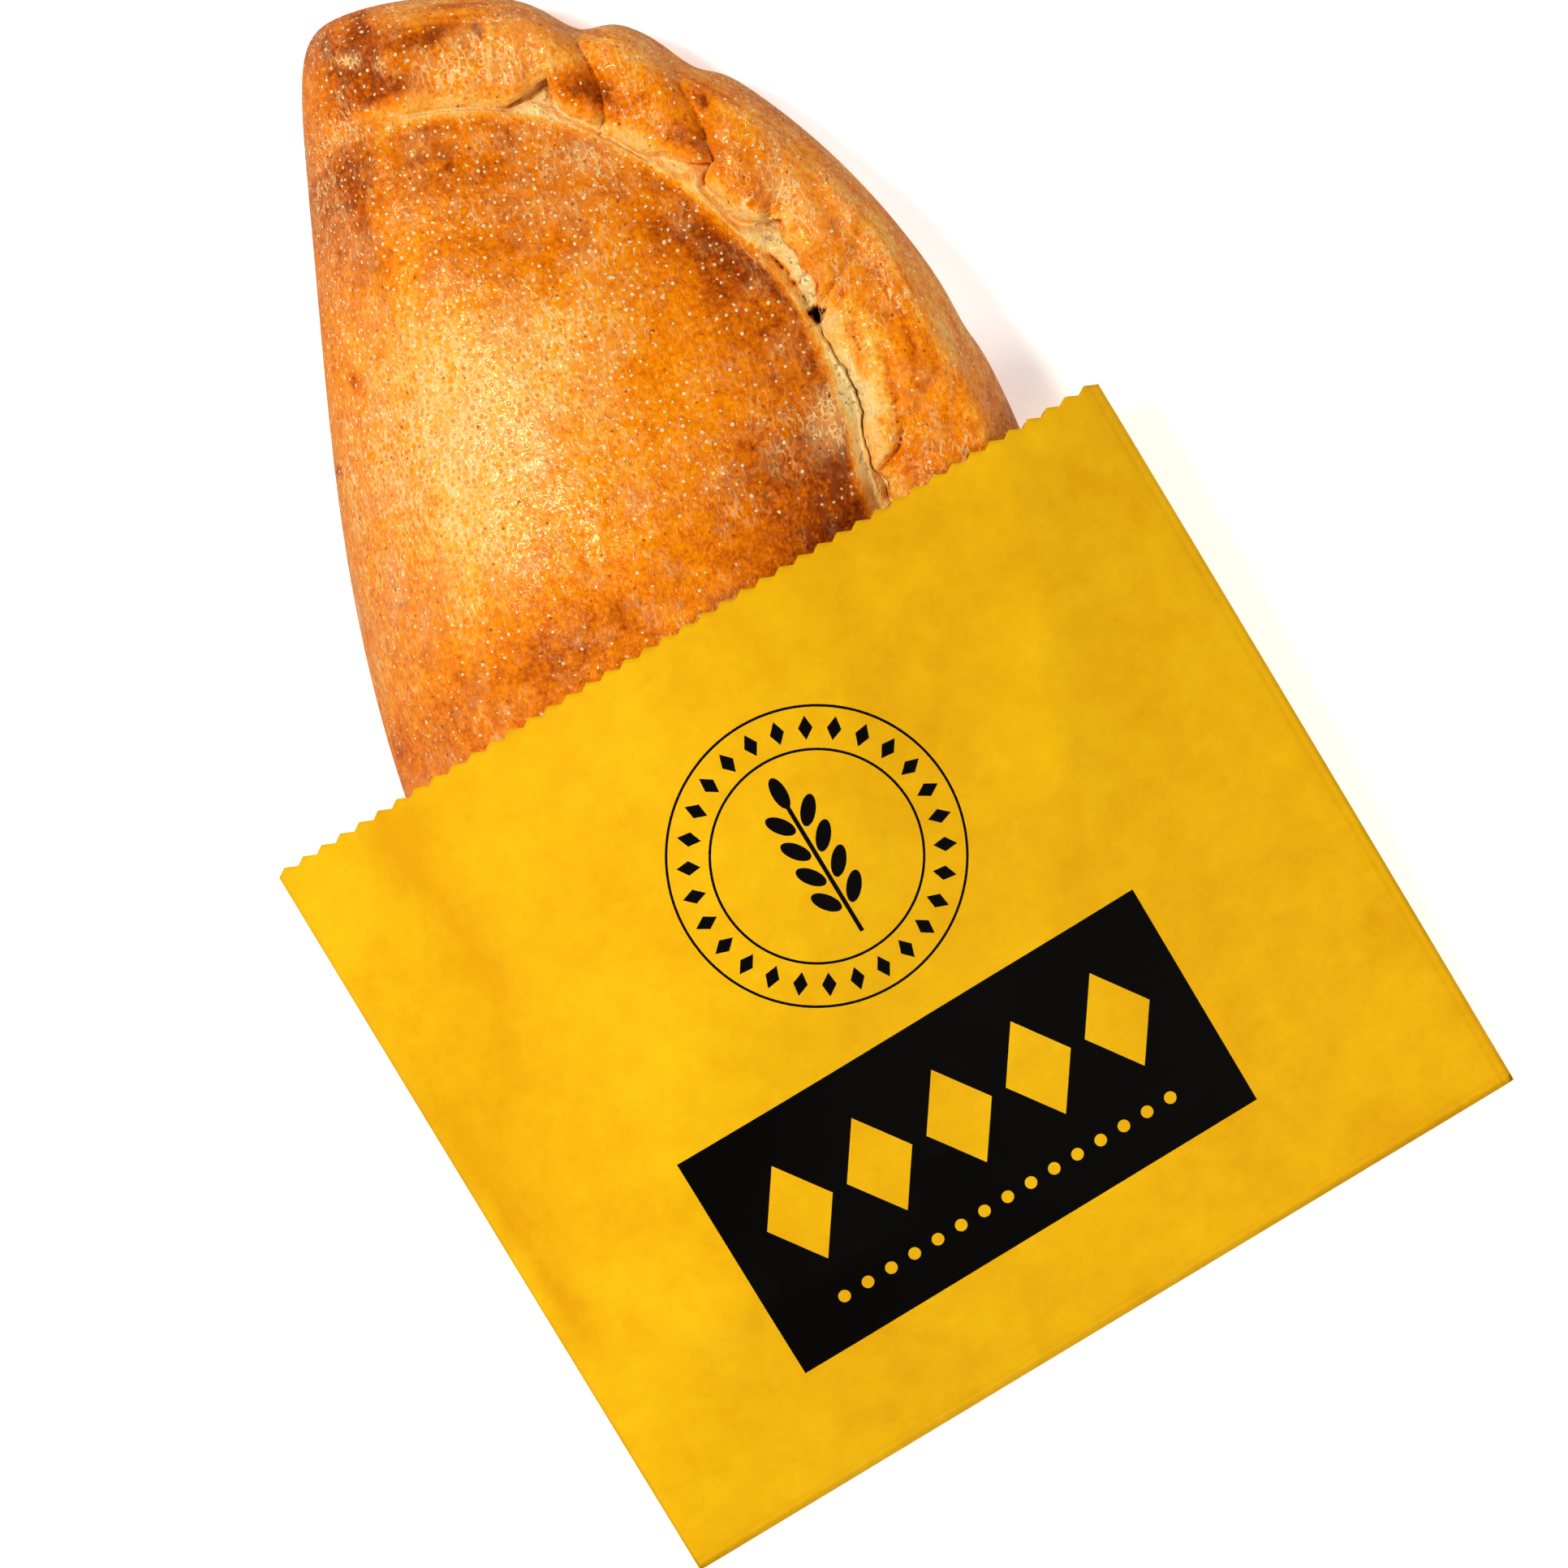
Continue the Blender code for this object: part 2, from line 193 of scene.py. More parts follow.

# Patches of the crust: middle, half-sizes and turn in the plan, how much browner each is
# (real browning in part, and in part painted shade, with painted light where it is negative)
# and how much pale bloom it has (painted highlights and sheen of the glaze).
crustPatches = named(
    ("at", "size", "turn", "brownAndShade", "bloomAndSheen"),
    # painted light: these make the left of the dome paler and add painted sheen where the key lamp's
    # highlight falls
    ((22, 40), (15, 27), 0, -0.14, 0.0),
    ((40, 44), (15, 16), 0, -0.06, 0.0),
    ((27, 40), (19, 24), 0, 0.0, 0.55),
    ((6, 8), (11, 18), 0, -0.03, 0.1),
    # painted shade: the low right of the body and the part by the bag's mouth darker, with less
    # painted sheen
    ((70, 13), (16, 13), 0, 0.25, -0.2),
    ((8, -4), (18, 8), 0, 0.08, -0.3),
    ((81, 35), (6, 9), 15, -0.12, 0.0),
    ((20, 106), (5, 4), 0, 0.26, 0.0),
    ((44, 62), (9, 7), 0, 0.04, -0.4),
    ((32, 80), (24, 9), -4, 0.07, -0.1),
    ((18, 84), (9, 9), 0, 0.26, -0.1),
    ((66, 54), (9, 16), 35, 0.06, -0.2),
    # painted shade by the bag's mouth, with the painted sheen taken off
    ((33, 4), (14, 9), 0, 0.24, -0.6),
    ((35, 65), (11, 7), 0, 0.13, -0.1),
    ((10.5, 53.2), (0.8, 1.7), 5, 0.4, -0.5),
    ((4.1, 40.3), (0.7, 0.9), 0, 0.3, -0.5),
    ((33.8, 81.5), (0.9, 0.6), 0, 0.35, -0.5),
    ((24, 99), (5, 4), 20, 0.26, 0.0),
    ((28, 104), (4, 2.5), -30, 0.2, 0.0),
    ((38, 104), (6, 3), 10, 0.1, -0.5),
    ((77, 54), (1.6, 6), 32, 0.16, 0.1),
    ((43, 96), (9, 6), 0, -0.04, 0.6),
    ((66, 90), (6, 5), 20, -0.04, 0.5),
    ((83, 70), (4, 8), 30, -0.03, 0.25),
    ((93, 52), (4, 12), 20, -0.05, 0.25),
    ((81, 26.5), (3.5, 4), 0, -0.14, 1.2),
    ((55.5, 77), (7, 3.5), -20, -0.05, 0.35),
    ((22.6, 102.2), (2.6, 1.2), -20, -0.05, 0.8),
    ((28, 99.2), (1, 1.8), 0, -0.05, 0.8),
    ((14.2, 84), (4, 7), 0, 0.0, 0.35),
    ((17.6, 91.2), (6, 2.5), 15, -0.05, 0.5),
    ((26, 104.8), (1.6, 3.5), 0, 0.4, -0.2),
    ((26.6, 96.1), (5, 2), 0, 0.36, -0.2),
    ((35.6, 101.5), (2.5, 1.2), 0, 0.4, -0.2),
    ((44, 101.1), (1, 1.6), 0, 0.35, 0.0),
    ((75.3, 80.8), (0.8, 1.6), 0, 0.4, -0.5),
    ((62.8, 78.6), (3.5, 2.5), -20, -0.04, -0.1),
    ((55, 92.8), (4, 3), 0, -0.12, 0.1),
    ((85.4, 39), (2.5, 3.5), 0, 0.12, -0.1),
    ((103.6, 33), (3.5, 7), 0, -0.12, 0.2),
    ((65, 62), (7, 7), 0, 0.09, -0.3),
    ((56.7, 36.4), (7, 7), 0, 0.05, -0.2),
    ((18, 70), (9, 8), 0, 0.06, -0.2),
    ((77.6, 61.5), (3, 1.2), -30, -0.2, 0.3),
    ((57.9, 86.6), (4, 3), 0, 0.0, -0.6),
    ((84, 62), (3, 4), 30, -0.1, 0.9),
    ((98, 30), (5, 7), 0, 0.02, -0.5),
    ((71.9, 76.8), (4, 3.5), 0, 0.0, -0.6),
)


def foldLine(y):
    along = np.clip(np.abs(y) / (pasty["length"] / 2), 0, 1)
    return pasty["foldSag"] * (1 - np.cos(along * math.pi / 2) ** 1.6)


def outlineMeasure(x, y):
    along = np.abs(y) / (pasty["length"] / 2)
    across = np.maximum(x - pasty["tipX"], 0) / (pasty["width"] - pasty["tipX"])
    crimpSide = np.hypot(across, along)
    foldSide = np.maximum(44 - x, 0) / (44 - foldLine(y))
    return (crimpSide**10 + foldSide**10) ** (1 / 10)


def spineMeasure(x, y):
    # the body's edge: the seam beside the crimp, and the shoulder of the folded side
    along = np.abs(y) / (pasty["length"] / 2 - pasty["crimpAtTip"])
    reach = pasty["width"] - pasty["tipX"] - pasty["crimpAtMiddle"]
    across = np.maximum(x - pasty["tipX"], 0) / reach
    power = pasty["seamPower"]
    crimpSide = (across**power + along**power) ** (1 / power)
    shoulder = foldLine(y) + pasty["foldReach"] - 10 * smoothStep(np.abs(y), 40, 92)
    foldSide = np.maximum(44 - x, 0) / (44 - shoulder)
    return (crimpSide**8 + foldSide**8) ** (1 / 8)


def reachTo(measure, startX, startY, dirX, dirY):
    low, high = np.zeros_like(dirX), np.full_like(dirX, 200.0)
    for _ in range(40):
        middle = (low + high) / 2
        inside = measure(startX + dirX * middle, startY + dirY * middle) < 1
        low, high = np.where(inside, middle, low), np.where(inside, high, middle)
    return (low + high) / 2


def seamLine():
    # the seam beside the crimp, from the free tip round to the other one, and its length
    power = 2 / pasty["seamPower"]
    turn = np.linspace(0, math.pi, 3001)
    reach = pasty["width"] - pasty["tipX"] - pasty["crimpAtMiddle"]
    half = pasty["length"] / 2 - pasty["crimpAtTip"]
    x = pasty["tipX"] + reach * np.abs(np.sin(turn)) ** power
    y = half * np.sign(np.cos(turn)) * np.abs(np.cos(turn)) ** power
    lead = np.linspace(8, pasty["tipX"], 100)[:-1]
    x = np.concatenate([lead, x, lead[::-1]])
    y = np.concatenate([np.full(99, half), y, np.full(99, -half)])
    passed = np.concatenate([[0], np.cumsum(np.hypot(np.diff(x), np.diff(y)))])
    return x, y, passed


def makeSpine():
    # points round the body's edge, closer together beside the crimp that shows
    angle = np.linspace(-math.pi, math.pi, 6001)
    dirX, dirY = np.cos(angle), np.sin(angle)
    reach = reachTo(spineMeasure, pasty["crownX"], pasty["crownY"], dirX, dirY)
    x, y = pasty["crownX"] + dirX * reach, pasty["crownY"] + dirY * reach
    step = np.hypot(np.diff(x), np.diff(y))
    shown = smoothStep(y, -15, 5)[1:]
    beside = smoothStep(x, 20, 40)[1:]
    corner = np.exp(-(((x - 20) / 18) ** 2 + ((y - 88) / 16) ** 2))[1:]
    weight = step * (1 + shown * (0.6 + 1.4 * beside + 2 * corner))
    passed = np.concatenate([[0], np.cumsum(weight)])
    wanted = np.arange(pasty["rays"]) * passed[-1] / pasty["rays"]
    x, y = np.interp(wanted, passed, x), np.interp(wanted, passed, y)
    ahead, behind = np.roll(x, -2) - np.roll(x, 2), np.roll(y, -2) - np.roll(y, 2)
    outX, outY = behind.copy(), -ahead.copy()
    for _ in range(6):
        outX = (np.roll(outX, 1) + outX * 2 + np.roll(outX, -1)) / 4
        outY = (np.roll(outY, 1) + outY * 2 + np.roll(outY, -1)) / 4
    size = np.hypot(outX, outY)
    return x, y, outX / size, outY / size


def creaseAt(fold, across):
    # where a fold's crease runs, at a share of the way from its nose to the outer edge
    return fold["at"] - fold["sweep"] * np.clip(across, 0, 1) ** 1.2


def foldRelief(along, across):
    # each fold rises from under the last one, and rolls down into its own crease
    relief = np.zeros_like(along)
    previous = {"at": 30.0, "sweep": 4.0}  # where the flap over the tip begins
    last = 0 * across
    for fold in crimpFolds:
        toOuter = smoothStep(across, 0, fold["fade"])
        start, end = creaseAt(previous, across), creaseAt(fold, across)
        part = (along - start) / (end - start)
        inside = (part > 0) & (part <= 1)
        part = np.clip(part, 0, 1)
        lip = np.clip(fold["lip"] * (0.45 + 0.55 * toOuter) / (end - start), 0.05, 0.6)
        sharp = np.clip(last / 1.6, 0, 1)
        rise = sharp * np.sin(np.clip(part / (1 - lip), 0, 1) * math.pi / 2) ** 0.8
        rise = rise + (1 - sharp) * smoothStep(part, 0, 0.7)
        roll = np.sqrt(1 - np.clip((part - 1 + lip) / lip, 0, 1) ** 2)
        depth = fold["nose"] + (fold["outer"] - fold["nose"]) * toOuter
        valley = last + (depth - last) * part
        relief += np.where(inside, (depth * 0.45 + valley * 0.55) * rise * roll - valley * 0.55, 0)
        previous, last = fold, depth
    return relief


def lineShape(line, x, y):
    # 1 on the line, fading to 0 beside it
    nearest = np.full_like(x, 1e3)
    for (startX, startY), (endX, endY) in zip(line["way"], line["way"][1:]):
        runX, runY = endX - startX, endY - startY
        share = ((x - startX) * runX + (y - startY) * runY) / (runX**2 + runY**2)
        share = np.clip(share, 0, 1)
        away = np.hypot(x - startX - runX * share, y - startY - runY * share)
        nearest = np.minimum(nearest, away)
    return bell(nearest, line["width"], 1.5)


def bodyEdge(along):
    # how far the body's edge swings out from the smooth line of the seam
    places = [0, 20, 35, 45, 55, 65, 70, 80, 83, 86, 88, 92, 97, 101, 106, 109]
    swings = [0, -0.8, -1.3, -1.5, -2.0, -1.7, -1.2, -0.8, -0.3, 0.5, 0.9, 1.1, 1.0, 0.7, 0.9, 1.4]
    places += [112, 115, 119, 128, 140]
    swings += [1.5, 0.9, -0.5, -0.9, 0.0]
    return sum(np.interp(along + step, places, swings) for step in (-2, -1, 0, 1, 2)) / 5


def noseEdge(along):
    # distance from the body's edge to the crimp's upper layer, all along the seam
    places = [0, 37.4, 38.5, 39.5, 40.5, 41.5, 42.5, 43.1, 43.8, 44.6, 46, 48, 52.5, 54.5]
    edges = [0.8, 0.8, 1.4, 2.4, 3.8, 4.9, 5.6, 6.1, 4.4, 3.1, 2.2, 1.7, 1.5, 0.9]
    places += [61.5, 64, 67, 68.6, 70.2, 71, 73, 77, 79.6, 80.6, 82, 83.2, 84.4, 86]
    edges += [0.9, 2.6, 3.1, 3.9, 5.9, 2.6, 2.0, 1.6, 1.7, 2.6, 4.6, 5.8, 5.2, 3.9]
    places += [88, 92, 94, 96.4, 97.4, 98.6, 99.4, 124, 126, 130, 146]
    edges += [3.5, 3.3, 3.1, 2.4, 2.0, 2.0, 0.9, 0.8, 2.2, 2.4, 1.8]
    places += [148, 166, 168, 185, 187, 203, 205, 220, 222, 236, 238, 250, 280]
    edges += [3.4, 1.8, 3.4, 1.8, 3.4, 1.8, 3.4, 1.8, 3.4, 1.8, 3.2, 0.8, 0.8]
    return np.interp(along, places, edges)


def standing(along):
    # 1 where a nose stands clear of the dough below it, 0 where it melts into it
    result = 0 * along
    for start, end, most in ((37.5, 45.5, 1), (67.5, 71.5, 1), (80.5, 84.5, 1), (95, 98, 0.25)):
        result += most * between(along, start - 1, start + 1, end - 1, end + 1)
    return result


def catmull(points, counts):
    # a smooth line through each ray's points, with counts[k] steps from point k to k + 1
    rows = []
    last = points.shape[1] - 1
    for index, count in enumerate(counts):
        before, start = points[:, max(index - 1, 0)], points[:, index]
        end, after = points[:, index + 1], points[:, min(index + 2, last)]
        for step in range(1, count + 1):
            t = step / count
            bend = 2 * before - 5 * start + 4 * end - after
            twist = 3 * start - before - 3 * end + after
            rows.append(0.5 * (2 * start + (end - before) * t + bend * t**2 + twist * t**3))
    return np.stack(rows, axis=1)


def crimpSection(width, nose, edge, along):
    # the body's edge, the dough in the gap, the upper layer's nose, its top and its flank
    hole = bell(along - 98.2, 1.1, 4)
    ridge, rise = edge + 1.6, edge + 0.1
    rest = width - nose
    shallow = smoothStep(along, 99.5, 104)
    drop = 0.8 + 1.3 * smoothStep(along, 30, 38) * (1 - 0.6 * shallow) + 5 * hole
    floor = edge - drop
    # past the hole the body's rim is rounded, with a narrow crevice outside it
    falls = [0.14 - 0.12 * shallow, 0.5 - 0.42 * shallow, 0.85 - 0.55 * shallow]
    # before the hole the dough is torn off the body and rises towards the nose
    torn = between(along, 83.5, 87, 97, 98.5)
    falls = [fall + (end - fall) * torn for fall, end in zip(falls, (0.95, 0.75, 0.5))]
    lip = standing(along)  # 1 where the nose's edge stands off the dough
    points = [
        (0 * nose, edge),
        (0.2 * nose, edge - falls[0] * drop),
        (0.42 * nose, edge - falls[1] * drop),
        (0.64 * nose, edge - falls[2] * drop),
        (0.88 * nose, floor + 0.1 - 0.7 * lip - 0.4 * shallow + 0.6 * torn * drop),
        (nose + 0.5 * lip, floor + 0.5 - 1.2 * lip + 0.4 * torn * drop),
        (nose + 0.1, edge - 1.1 + 0.5 * lip),
        (nose + 0.5, rise - 0.5 + 0.8 * lip),
        (nose + 1.5, rise + 0.2 + 0.7 * lip),
        (nose + 0.2 * rest, ridge - 0.3 + 0.3 * lip),
        (nose + 0.42 * rest, ridge),
        (nose + 0.62 * rest, ridge - 0.8),
        (nose + 0.76 * rest, ridge - 2.6),
        (nose + 0.87 * rest, ridge * 0.74),
        (nose + 0.95 * rest, ridge * 0.57),
        (width, ridge * 0.37),
        (width - 0.6, ridge * 0.18),
        (width - 2.8, 1.6 + 0 * nose),
        (width - 7.0, 0 * nose),
    ]
    return np.stack([np.stack(np.broadcast_arrays(*point), -1) for point in points], 1)


def plainSection(width, edge):
    # the folded side: from the shoulder round to the table
    shares = [0, 0.06, 0.12, 0.18, 0.24, 0.3, 0.36, 0.43, 0.5, 0.58, 0.66, 0.74, 0.82]
    shares += [0.89, 0.95, 0.985, 1.0, 0.975, 0.85]
    levels = [1, 0.975, 0.948, 0.92, 0.888, 0.853, 0.815, 0.77, 0.723, 0.661, 0.592]
    levels += [0.515, 0.43, 0.335, 0.235, 0.155, 0.1, 0.035, 0]
    return np.stack([np.outer(width, shares), np.outer(edge, levels)], axis=-1)


def pastyRings():
    # the crust as rings of points, from the crown down to the middle of the base, with what
    # the relief and the colours need to know at each point
    spineX, spineY, outX, outY = makeSpine()
    seamX, seamY, passed = seamLine()
    nearest = np.hypot(spineX[:, None] - seamX, spineY[:, None] - seamY).argmin(axis=1)
    along = passed[nearest]
    crimped = smoothStep(spineX, 20, 30)
    swing = bodyEdge(along) * crimped
    spineX, spineY = spineX + outX * swing, spineY + outY * swing
    width = reachTo(outlineMeasure, spineX, spineY, outX, outY)
    for fold in crimpFolds:  # the outline steps in where a crease reaches it
        behind = along - (fold["at"] - 0.72 * fold["sweep"])
        width -= fold["notch"] * bell(behind, np.where(behind < 0, 5, 3)) * crimped
    toMiddle = smoothStep(1 - np.abs(spineY) / 91.5, 0, 0.8)
    edge = pasty["edgeAtTip"] + (pasty["edgeAtMiddle"] - pasty["edgeAtTip"]) * toMiddle
    edge += pasty["foldExtra"] * (1 - smoothStep(spineX, 18, 50)) * toMiddle
    ragged = noiseField(along, along * 0, 2.6, 31) * 0.7 + noiseField(along, along * 0, 1.1, 32) * 0.4
    nose = np.maximum(noseEdge(along) + ragged * smoothStep(along, 36, 42), 0.8)
    crimp = crimpSection(width, nose, edge, along)
    plain = plainSection(width, edge)
    band = plain + (crimp - plain) * crimped[:, None, None]
    band = catmull(band, [2, 2, 2, 2, 2, 2, 2, 2, 8, 8, 8, 7, 5, 4, 4, 3, 3, 3])

    dome, inBand, base = pasty["domeRings"], band.shape[1], pasty["baseRings"]
    share = np.linspace(0, 1, dome + 1)[None, :]
    reachX, reachY = spineX - pasty["crownX"], spineY - pasty["crownY"]
    spineReach = np.hypot(reachX, reachY)
    dirX, dirY = reachX / spineReach, reachY / spineReach
    oval = 1 / np.hypot(dirX / pasty["crownOval"][0], dirY / pasty["crownOval"][1])
    reach = share * (oval[:, None] + (spineReach - oval)[:, None] * share**1.5)
    fall = (pasty["crownHeight"] - edge[:, None]) * (1 - share**2.3)
    x = [pasty["crownX"] + reach * dirX[:, None], spineX[:, None] + band[:, :, 0] * outX[:, None]]
    y = [pasty["crownY"] + reach * dirY[:, None], spineY[:, None] + band[:, :, 0] * outY[:, None]]
    z = [edge[:, None] + fall, band[:, :, 1]]
    keep = 1 - np.arange(1, base + 1) / base
    x.append(pasty["crownX"] + (x[1][:, -1:] - pasty["crownX"]) * keep)
    y.append(pasty["crownY"] + (y[1][:, -1:] - pasty["crownY"]) * keep)
    z.append(np.zeros_like(x[2]))
    x, y, z = (np.concatenate(parts, axis=1) for parts in (x, y, z))
    ringNumber = np.arange(x.shape[1])

    # the shoulder of the folded side is rounded over
    window = between(ringNumber, dome - 30, dome - 10, dome + 25, dome + 34)
    window = window[None, :] * (1 - crimped[:, None])
    for grid in (x, y, z):
        soft = grid.copy()
        for _ in range(60):
            soft[:, 1:-1] = (soft[:, :-2] + 2 * soft[:, 1:-1] + soft[:, 2:]) / 4
        grid += (soft - grid) * window

    offset = np.zeros_like(x)
    offset[:, dome + 1 : dome + 1 + inBand] = band[:, :, 0]
    # the crust laid flat: past the body's edge, as far out as the way over the surface,
    # without the drop into the gap
    climbs = np.diff(z, axis=1) * (offset[:, 1:] > nose[:, None] + 0.5)
    ways = np.sqrt(np.diff(x, axis=1) ** 2 + np.diff(y, axis=1) ** 2 + climbs**2)
    ways = np.cumsum(ways[:, dome : dome + inBand], axis=1)
    flatX, flatY = x.copy(), y.copy()
    flatX[:, dome + 1 : dome + 1 + inBand] = spineX[:, None] + ways * outX[:, None]
    flatY[:, dome + 1 : dome + 1 + inBand] = spineY[:, None] + ways * outY[:, None]
    inwards = spineReach[:, None] - np.hypot(x - pasty["crownX"], y - pasty["crownY"])
    flank = dome + inBand  # the last ring of the band
    return {
        "x": x,
        "y": y,
        "z": z,
        "flatX": flatX,
        "flatY": flatY,
        "offset": offset,  # out from the body's edge, in the band
        "fromSeam": offset + swing[:, None],  # out from the seam's smooth line
        "inwards": inwards * (dirX * outX + dirY * outY)[:, None],  # in from that edge
        "across": (offset - nose[:, None]) / np.maximum(width - nose, 1)[:, None],
        "along": np.repeat(along[:, None], x.shape[1], axis=1),
        "nose": nose[:, None],
        "crimped": crimped[:, None],
        "body": 1 - smoothStep(ringNumber, dome - 3, dome + 3)[None, :],
        "onTop": between(ringNumber, dome + 10, dome + 17, flank - 24, flank - 10)[None, :],
        "upper": 1 - smoothStep(ringNumber, flank - 16, flank - 4)[None, :],
    }


def innerFace(grid):
    # how far out the long fold's pale inner face reaches, the crack along its edge and the
    # soft fold across it
    along, out = grid["along"], grid["fromSeam"]
    face = np.interp(along, [98, 104, 109, 114, 119.3, 122, 124.5], [6.4, 8.6, 8.8, 7.6, 6.7, 5.2, 1])
    crack = bell(out - face, 0.45, 1) * between(along, 105, 110, 124, 126)
    petal = bell(out - 7.2 + (along - 101) * 0.4, 0.9, 1) * between(along, 99.5, 103, 109, 113)
    return face, crack, petal


def raiseRelief(grid):
    x, y, z = grid["x"], grid["y"], grid["z"]
    along, offset, upper, body = grid["along"], grid["offset"], grid["upper"], grid["body"]
    warp = noiseField(x, y, 7, 41) * 1.3 + noiseField(x, y, 2.5, 42) * 0.5
    relief = foldRelief(along + warp, grid["across"])
    _, crack, petal = innerFace(grid)
    relief -= crack * 1.4 + petal * 1.6
    lumpy = noiseField(x, y, 8, 43) * 1.2 + noiseField(x, y, 3.2, 44) * 0.45
    z += (relief + lumpy) * grid["onTop"] * grid["crimped"]
    gap = smoothStep(offset, 0.4, 0.8) * (1 - smoothStep(offset - grid["nose"], -0.4, 0.2))
    z += (noiseField(x, y, 1.3, 45) * 0.8 + noiseField(x, y, 4, 46) * 0.7) * gap
    lumps = noiseField(x, y, 34, 1) * 0.9 + noiseField(x, y, 13, 2) * 0.45
    z += lumps * upper * (0.25 + 0.75 * body)
    z += (noiseField(x, y, 5, 3) * 0.16 + noiseField(x, y, 2.2, 4) * 0.06) * upper
    ropes = noiseField(along, (grid["inwards"] - offset) * 5, 8, 24)
    beside = bell(grid["inwards"] - 4, 4) * (offset <= 0) * smoothStep(along, 62, 76)
    z += ropes * beside * grid["crimped"] * 0.35
    for line in crustLines:
        z += line["height"] * lineShape(line, x, y) * upper
    z[:, 0] = z[:, 0].mean()


def bakeLevels(grid):
    # how baked each part is, from 0 for raw dough to 1 for dark brown
    x, y, along, offset = grid["x"], grid["y"], grid["along"], grid["offset"]
    crimped, inwards, nose = grid["crimped"], grid["inwards"], grid["nose"]
    out = grid["fromSeam"]
    beside = 0.12 + 0.16 * smoothStep(along, 60, 88)
    bake = 0.43 + beside * crimped * bell(inwards, 19)
    bake = np.where(offset > 0, 0.5, bake)
    rimPlaces = [0, 20, 45, 60, 72, 86, 98, 104, 110, 140]
    paleRim = np.interp(along, rimPlaces, [0.12, 0.36, 0.36, 0.3, 0.38, 0.55, 0.55, 0.6, 0.78, 0.78])
    rim = paleRim * (0.85 + 0.3 * noiseField(x, y, 5, 21)) * (offset <= 0) * crimped
    rimWidth = 0.3 + 1.6 * paleRim + 0.9 * smoothStep(along, 104, 110)
    rim *= bell(inwards - 0.2, rimWidth, 4)
    face, crack, petal = innerFace(grid)
    ragged = noiseField(x, y, 3, 22) * 0.8
    band = 0.2 + 0.3 * smoothStep(offset - nose + ragged, 0, 4.5)
    # painted sheen: the outer flank of the crimp a little paler
    band -= 0.05 * smoothStep(grid["across"], 0.5, 0.85)
    for fold in crimpFolds:
        fromNose = (along - fold["at"] + 4.8) / 5.0
        fromEdge = (out - 4.8) / 2.9
        band += fold["toast"] * np.exp(-((fromNose**2 + fromEdge**2) ** 1.5))
    pale = smoothStep(face - out, -2.5, 1) * smoothStep(along, 96.5, 98.5)
    # the soft fold across the pale face is painted darker: painted shade in the fold
    band += 0.34 * crack + 0.2 * petal - 0.21 * pale * (1 - smoothStep(along, 122, 126))
    dough = 0.13 - 0.06 * smoothStep(along, 35, 39) + 0.08 * smoothStep(along, 46, 52)
    dough -= 0.1 * smoothStep(along, 74, 84)
    dough += noiseField(x, y, 1.4, 23) * 0.08
    band = np.where(offset < nose - 0.1, dough, np.maximum(band, 0.11))
    bake = bake + (band - bake) * crimped * (offset > 0)
    # the patches and lines add real browning, painted shade and painted light
    for patch in crustPatches:
        bake += patch["brownAndShade"] * hump(x, y, patch)
    for line in crustLines:
        bake += line["brownAndShade"] * lineShape(line, x, y)
    bake += noiseField(x, y, 17, 7) * 0.05 - rim
    # streaks that run along the seam, on the body's edge and down the flank
    streaks = noiseField(along, (inwards - offset) * 8, 9, 24)
    beside = bell(inwards - 4, 5) * (offset <= 0)
    flank = between(grid["across"], 0.55, 0.8, 0.97, 1.05)
    bake += streaks * (0.22 * beside + 0.24 * flank) * crimped
    bake = np.maximum(bake, 0.3 * flank * crimped)
    # the small hole where two folds part from the body, painted nearly black: painted shadow inside it
    torn = noiseField(x, y, 0.9, 25)
    hole = ((along - 98.2 + torn * 1.2) / 0.9) ** 4 + ((out - 2.3 + torn * 0.8) / 0.9) ** 4
    # and the crumbly line that leads to it, painted dark: crumbs and painted shade in the crevice
    specksAndShade = smoothStep(noiseField(x, y, 1.2, 26), -0.1, 0.2)
    specksAndShade *= bell(offset - 0.7, 0.4) * between(along, 84, 88, 97, 99)
    return np.clip(bake, 0, 0.84) + (3 * np.exp(-hole) + 1.1 * specksAndShade) * (offset > 0.1)


def bloomAndSheenLevels(grid):
    # how much pale bloom the glaze shows: painted highlights and sheen
    x, y = grid["x"], grid["y"]
    bloomAndSheen = 0.18 + 0.3 * noiseField(x, y, 16, 51)
    for patch in crustPatches:
        bloomAndSheen += patch["bloomAndSheen"] * hump(x, y, patch)
    # painted glints in streaks that run round the crimp, along its folds
    streaks = noiseField(grid["along"] * 0.13, grid["offset"] * 0.8 + grid["along"] * 0.1, 1, 52)
    streaks = smoothStep(streaks, 0.05, 0.5)
    crimp = grid["onTop"] * grid["crimped"] * smoothStep(grid["along"], 45, 65)
    bloomAndSheen = bloomAndSheen * (1 - 0.45 * crimp) + 0.3 * streaks * crimp
    return np.clip(bloomAndSheen, 0, 1)


def dotLevels(grid):
    # how thickly the crust is scattered with pale blisters and their painted glints
    level = 0.95 - 0.6 * smoothStep(62 - grid["y"] - 0.35 * grid["x"], 0, 34)
    level -= 0.45 * smoothStep(grid["x"], 45, 75) * (1 - smoothStep(grid["y"], 45, 75))
    level += 0.5 * noiseField(grid["x"], grid["y"], 9, 61)
    return np.clip(level * (1 - 0.6 * grid["onTop"] * grid["crimped"]), 0, 1)


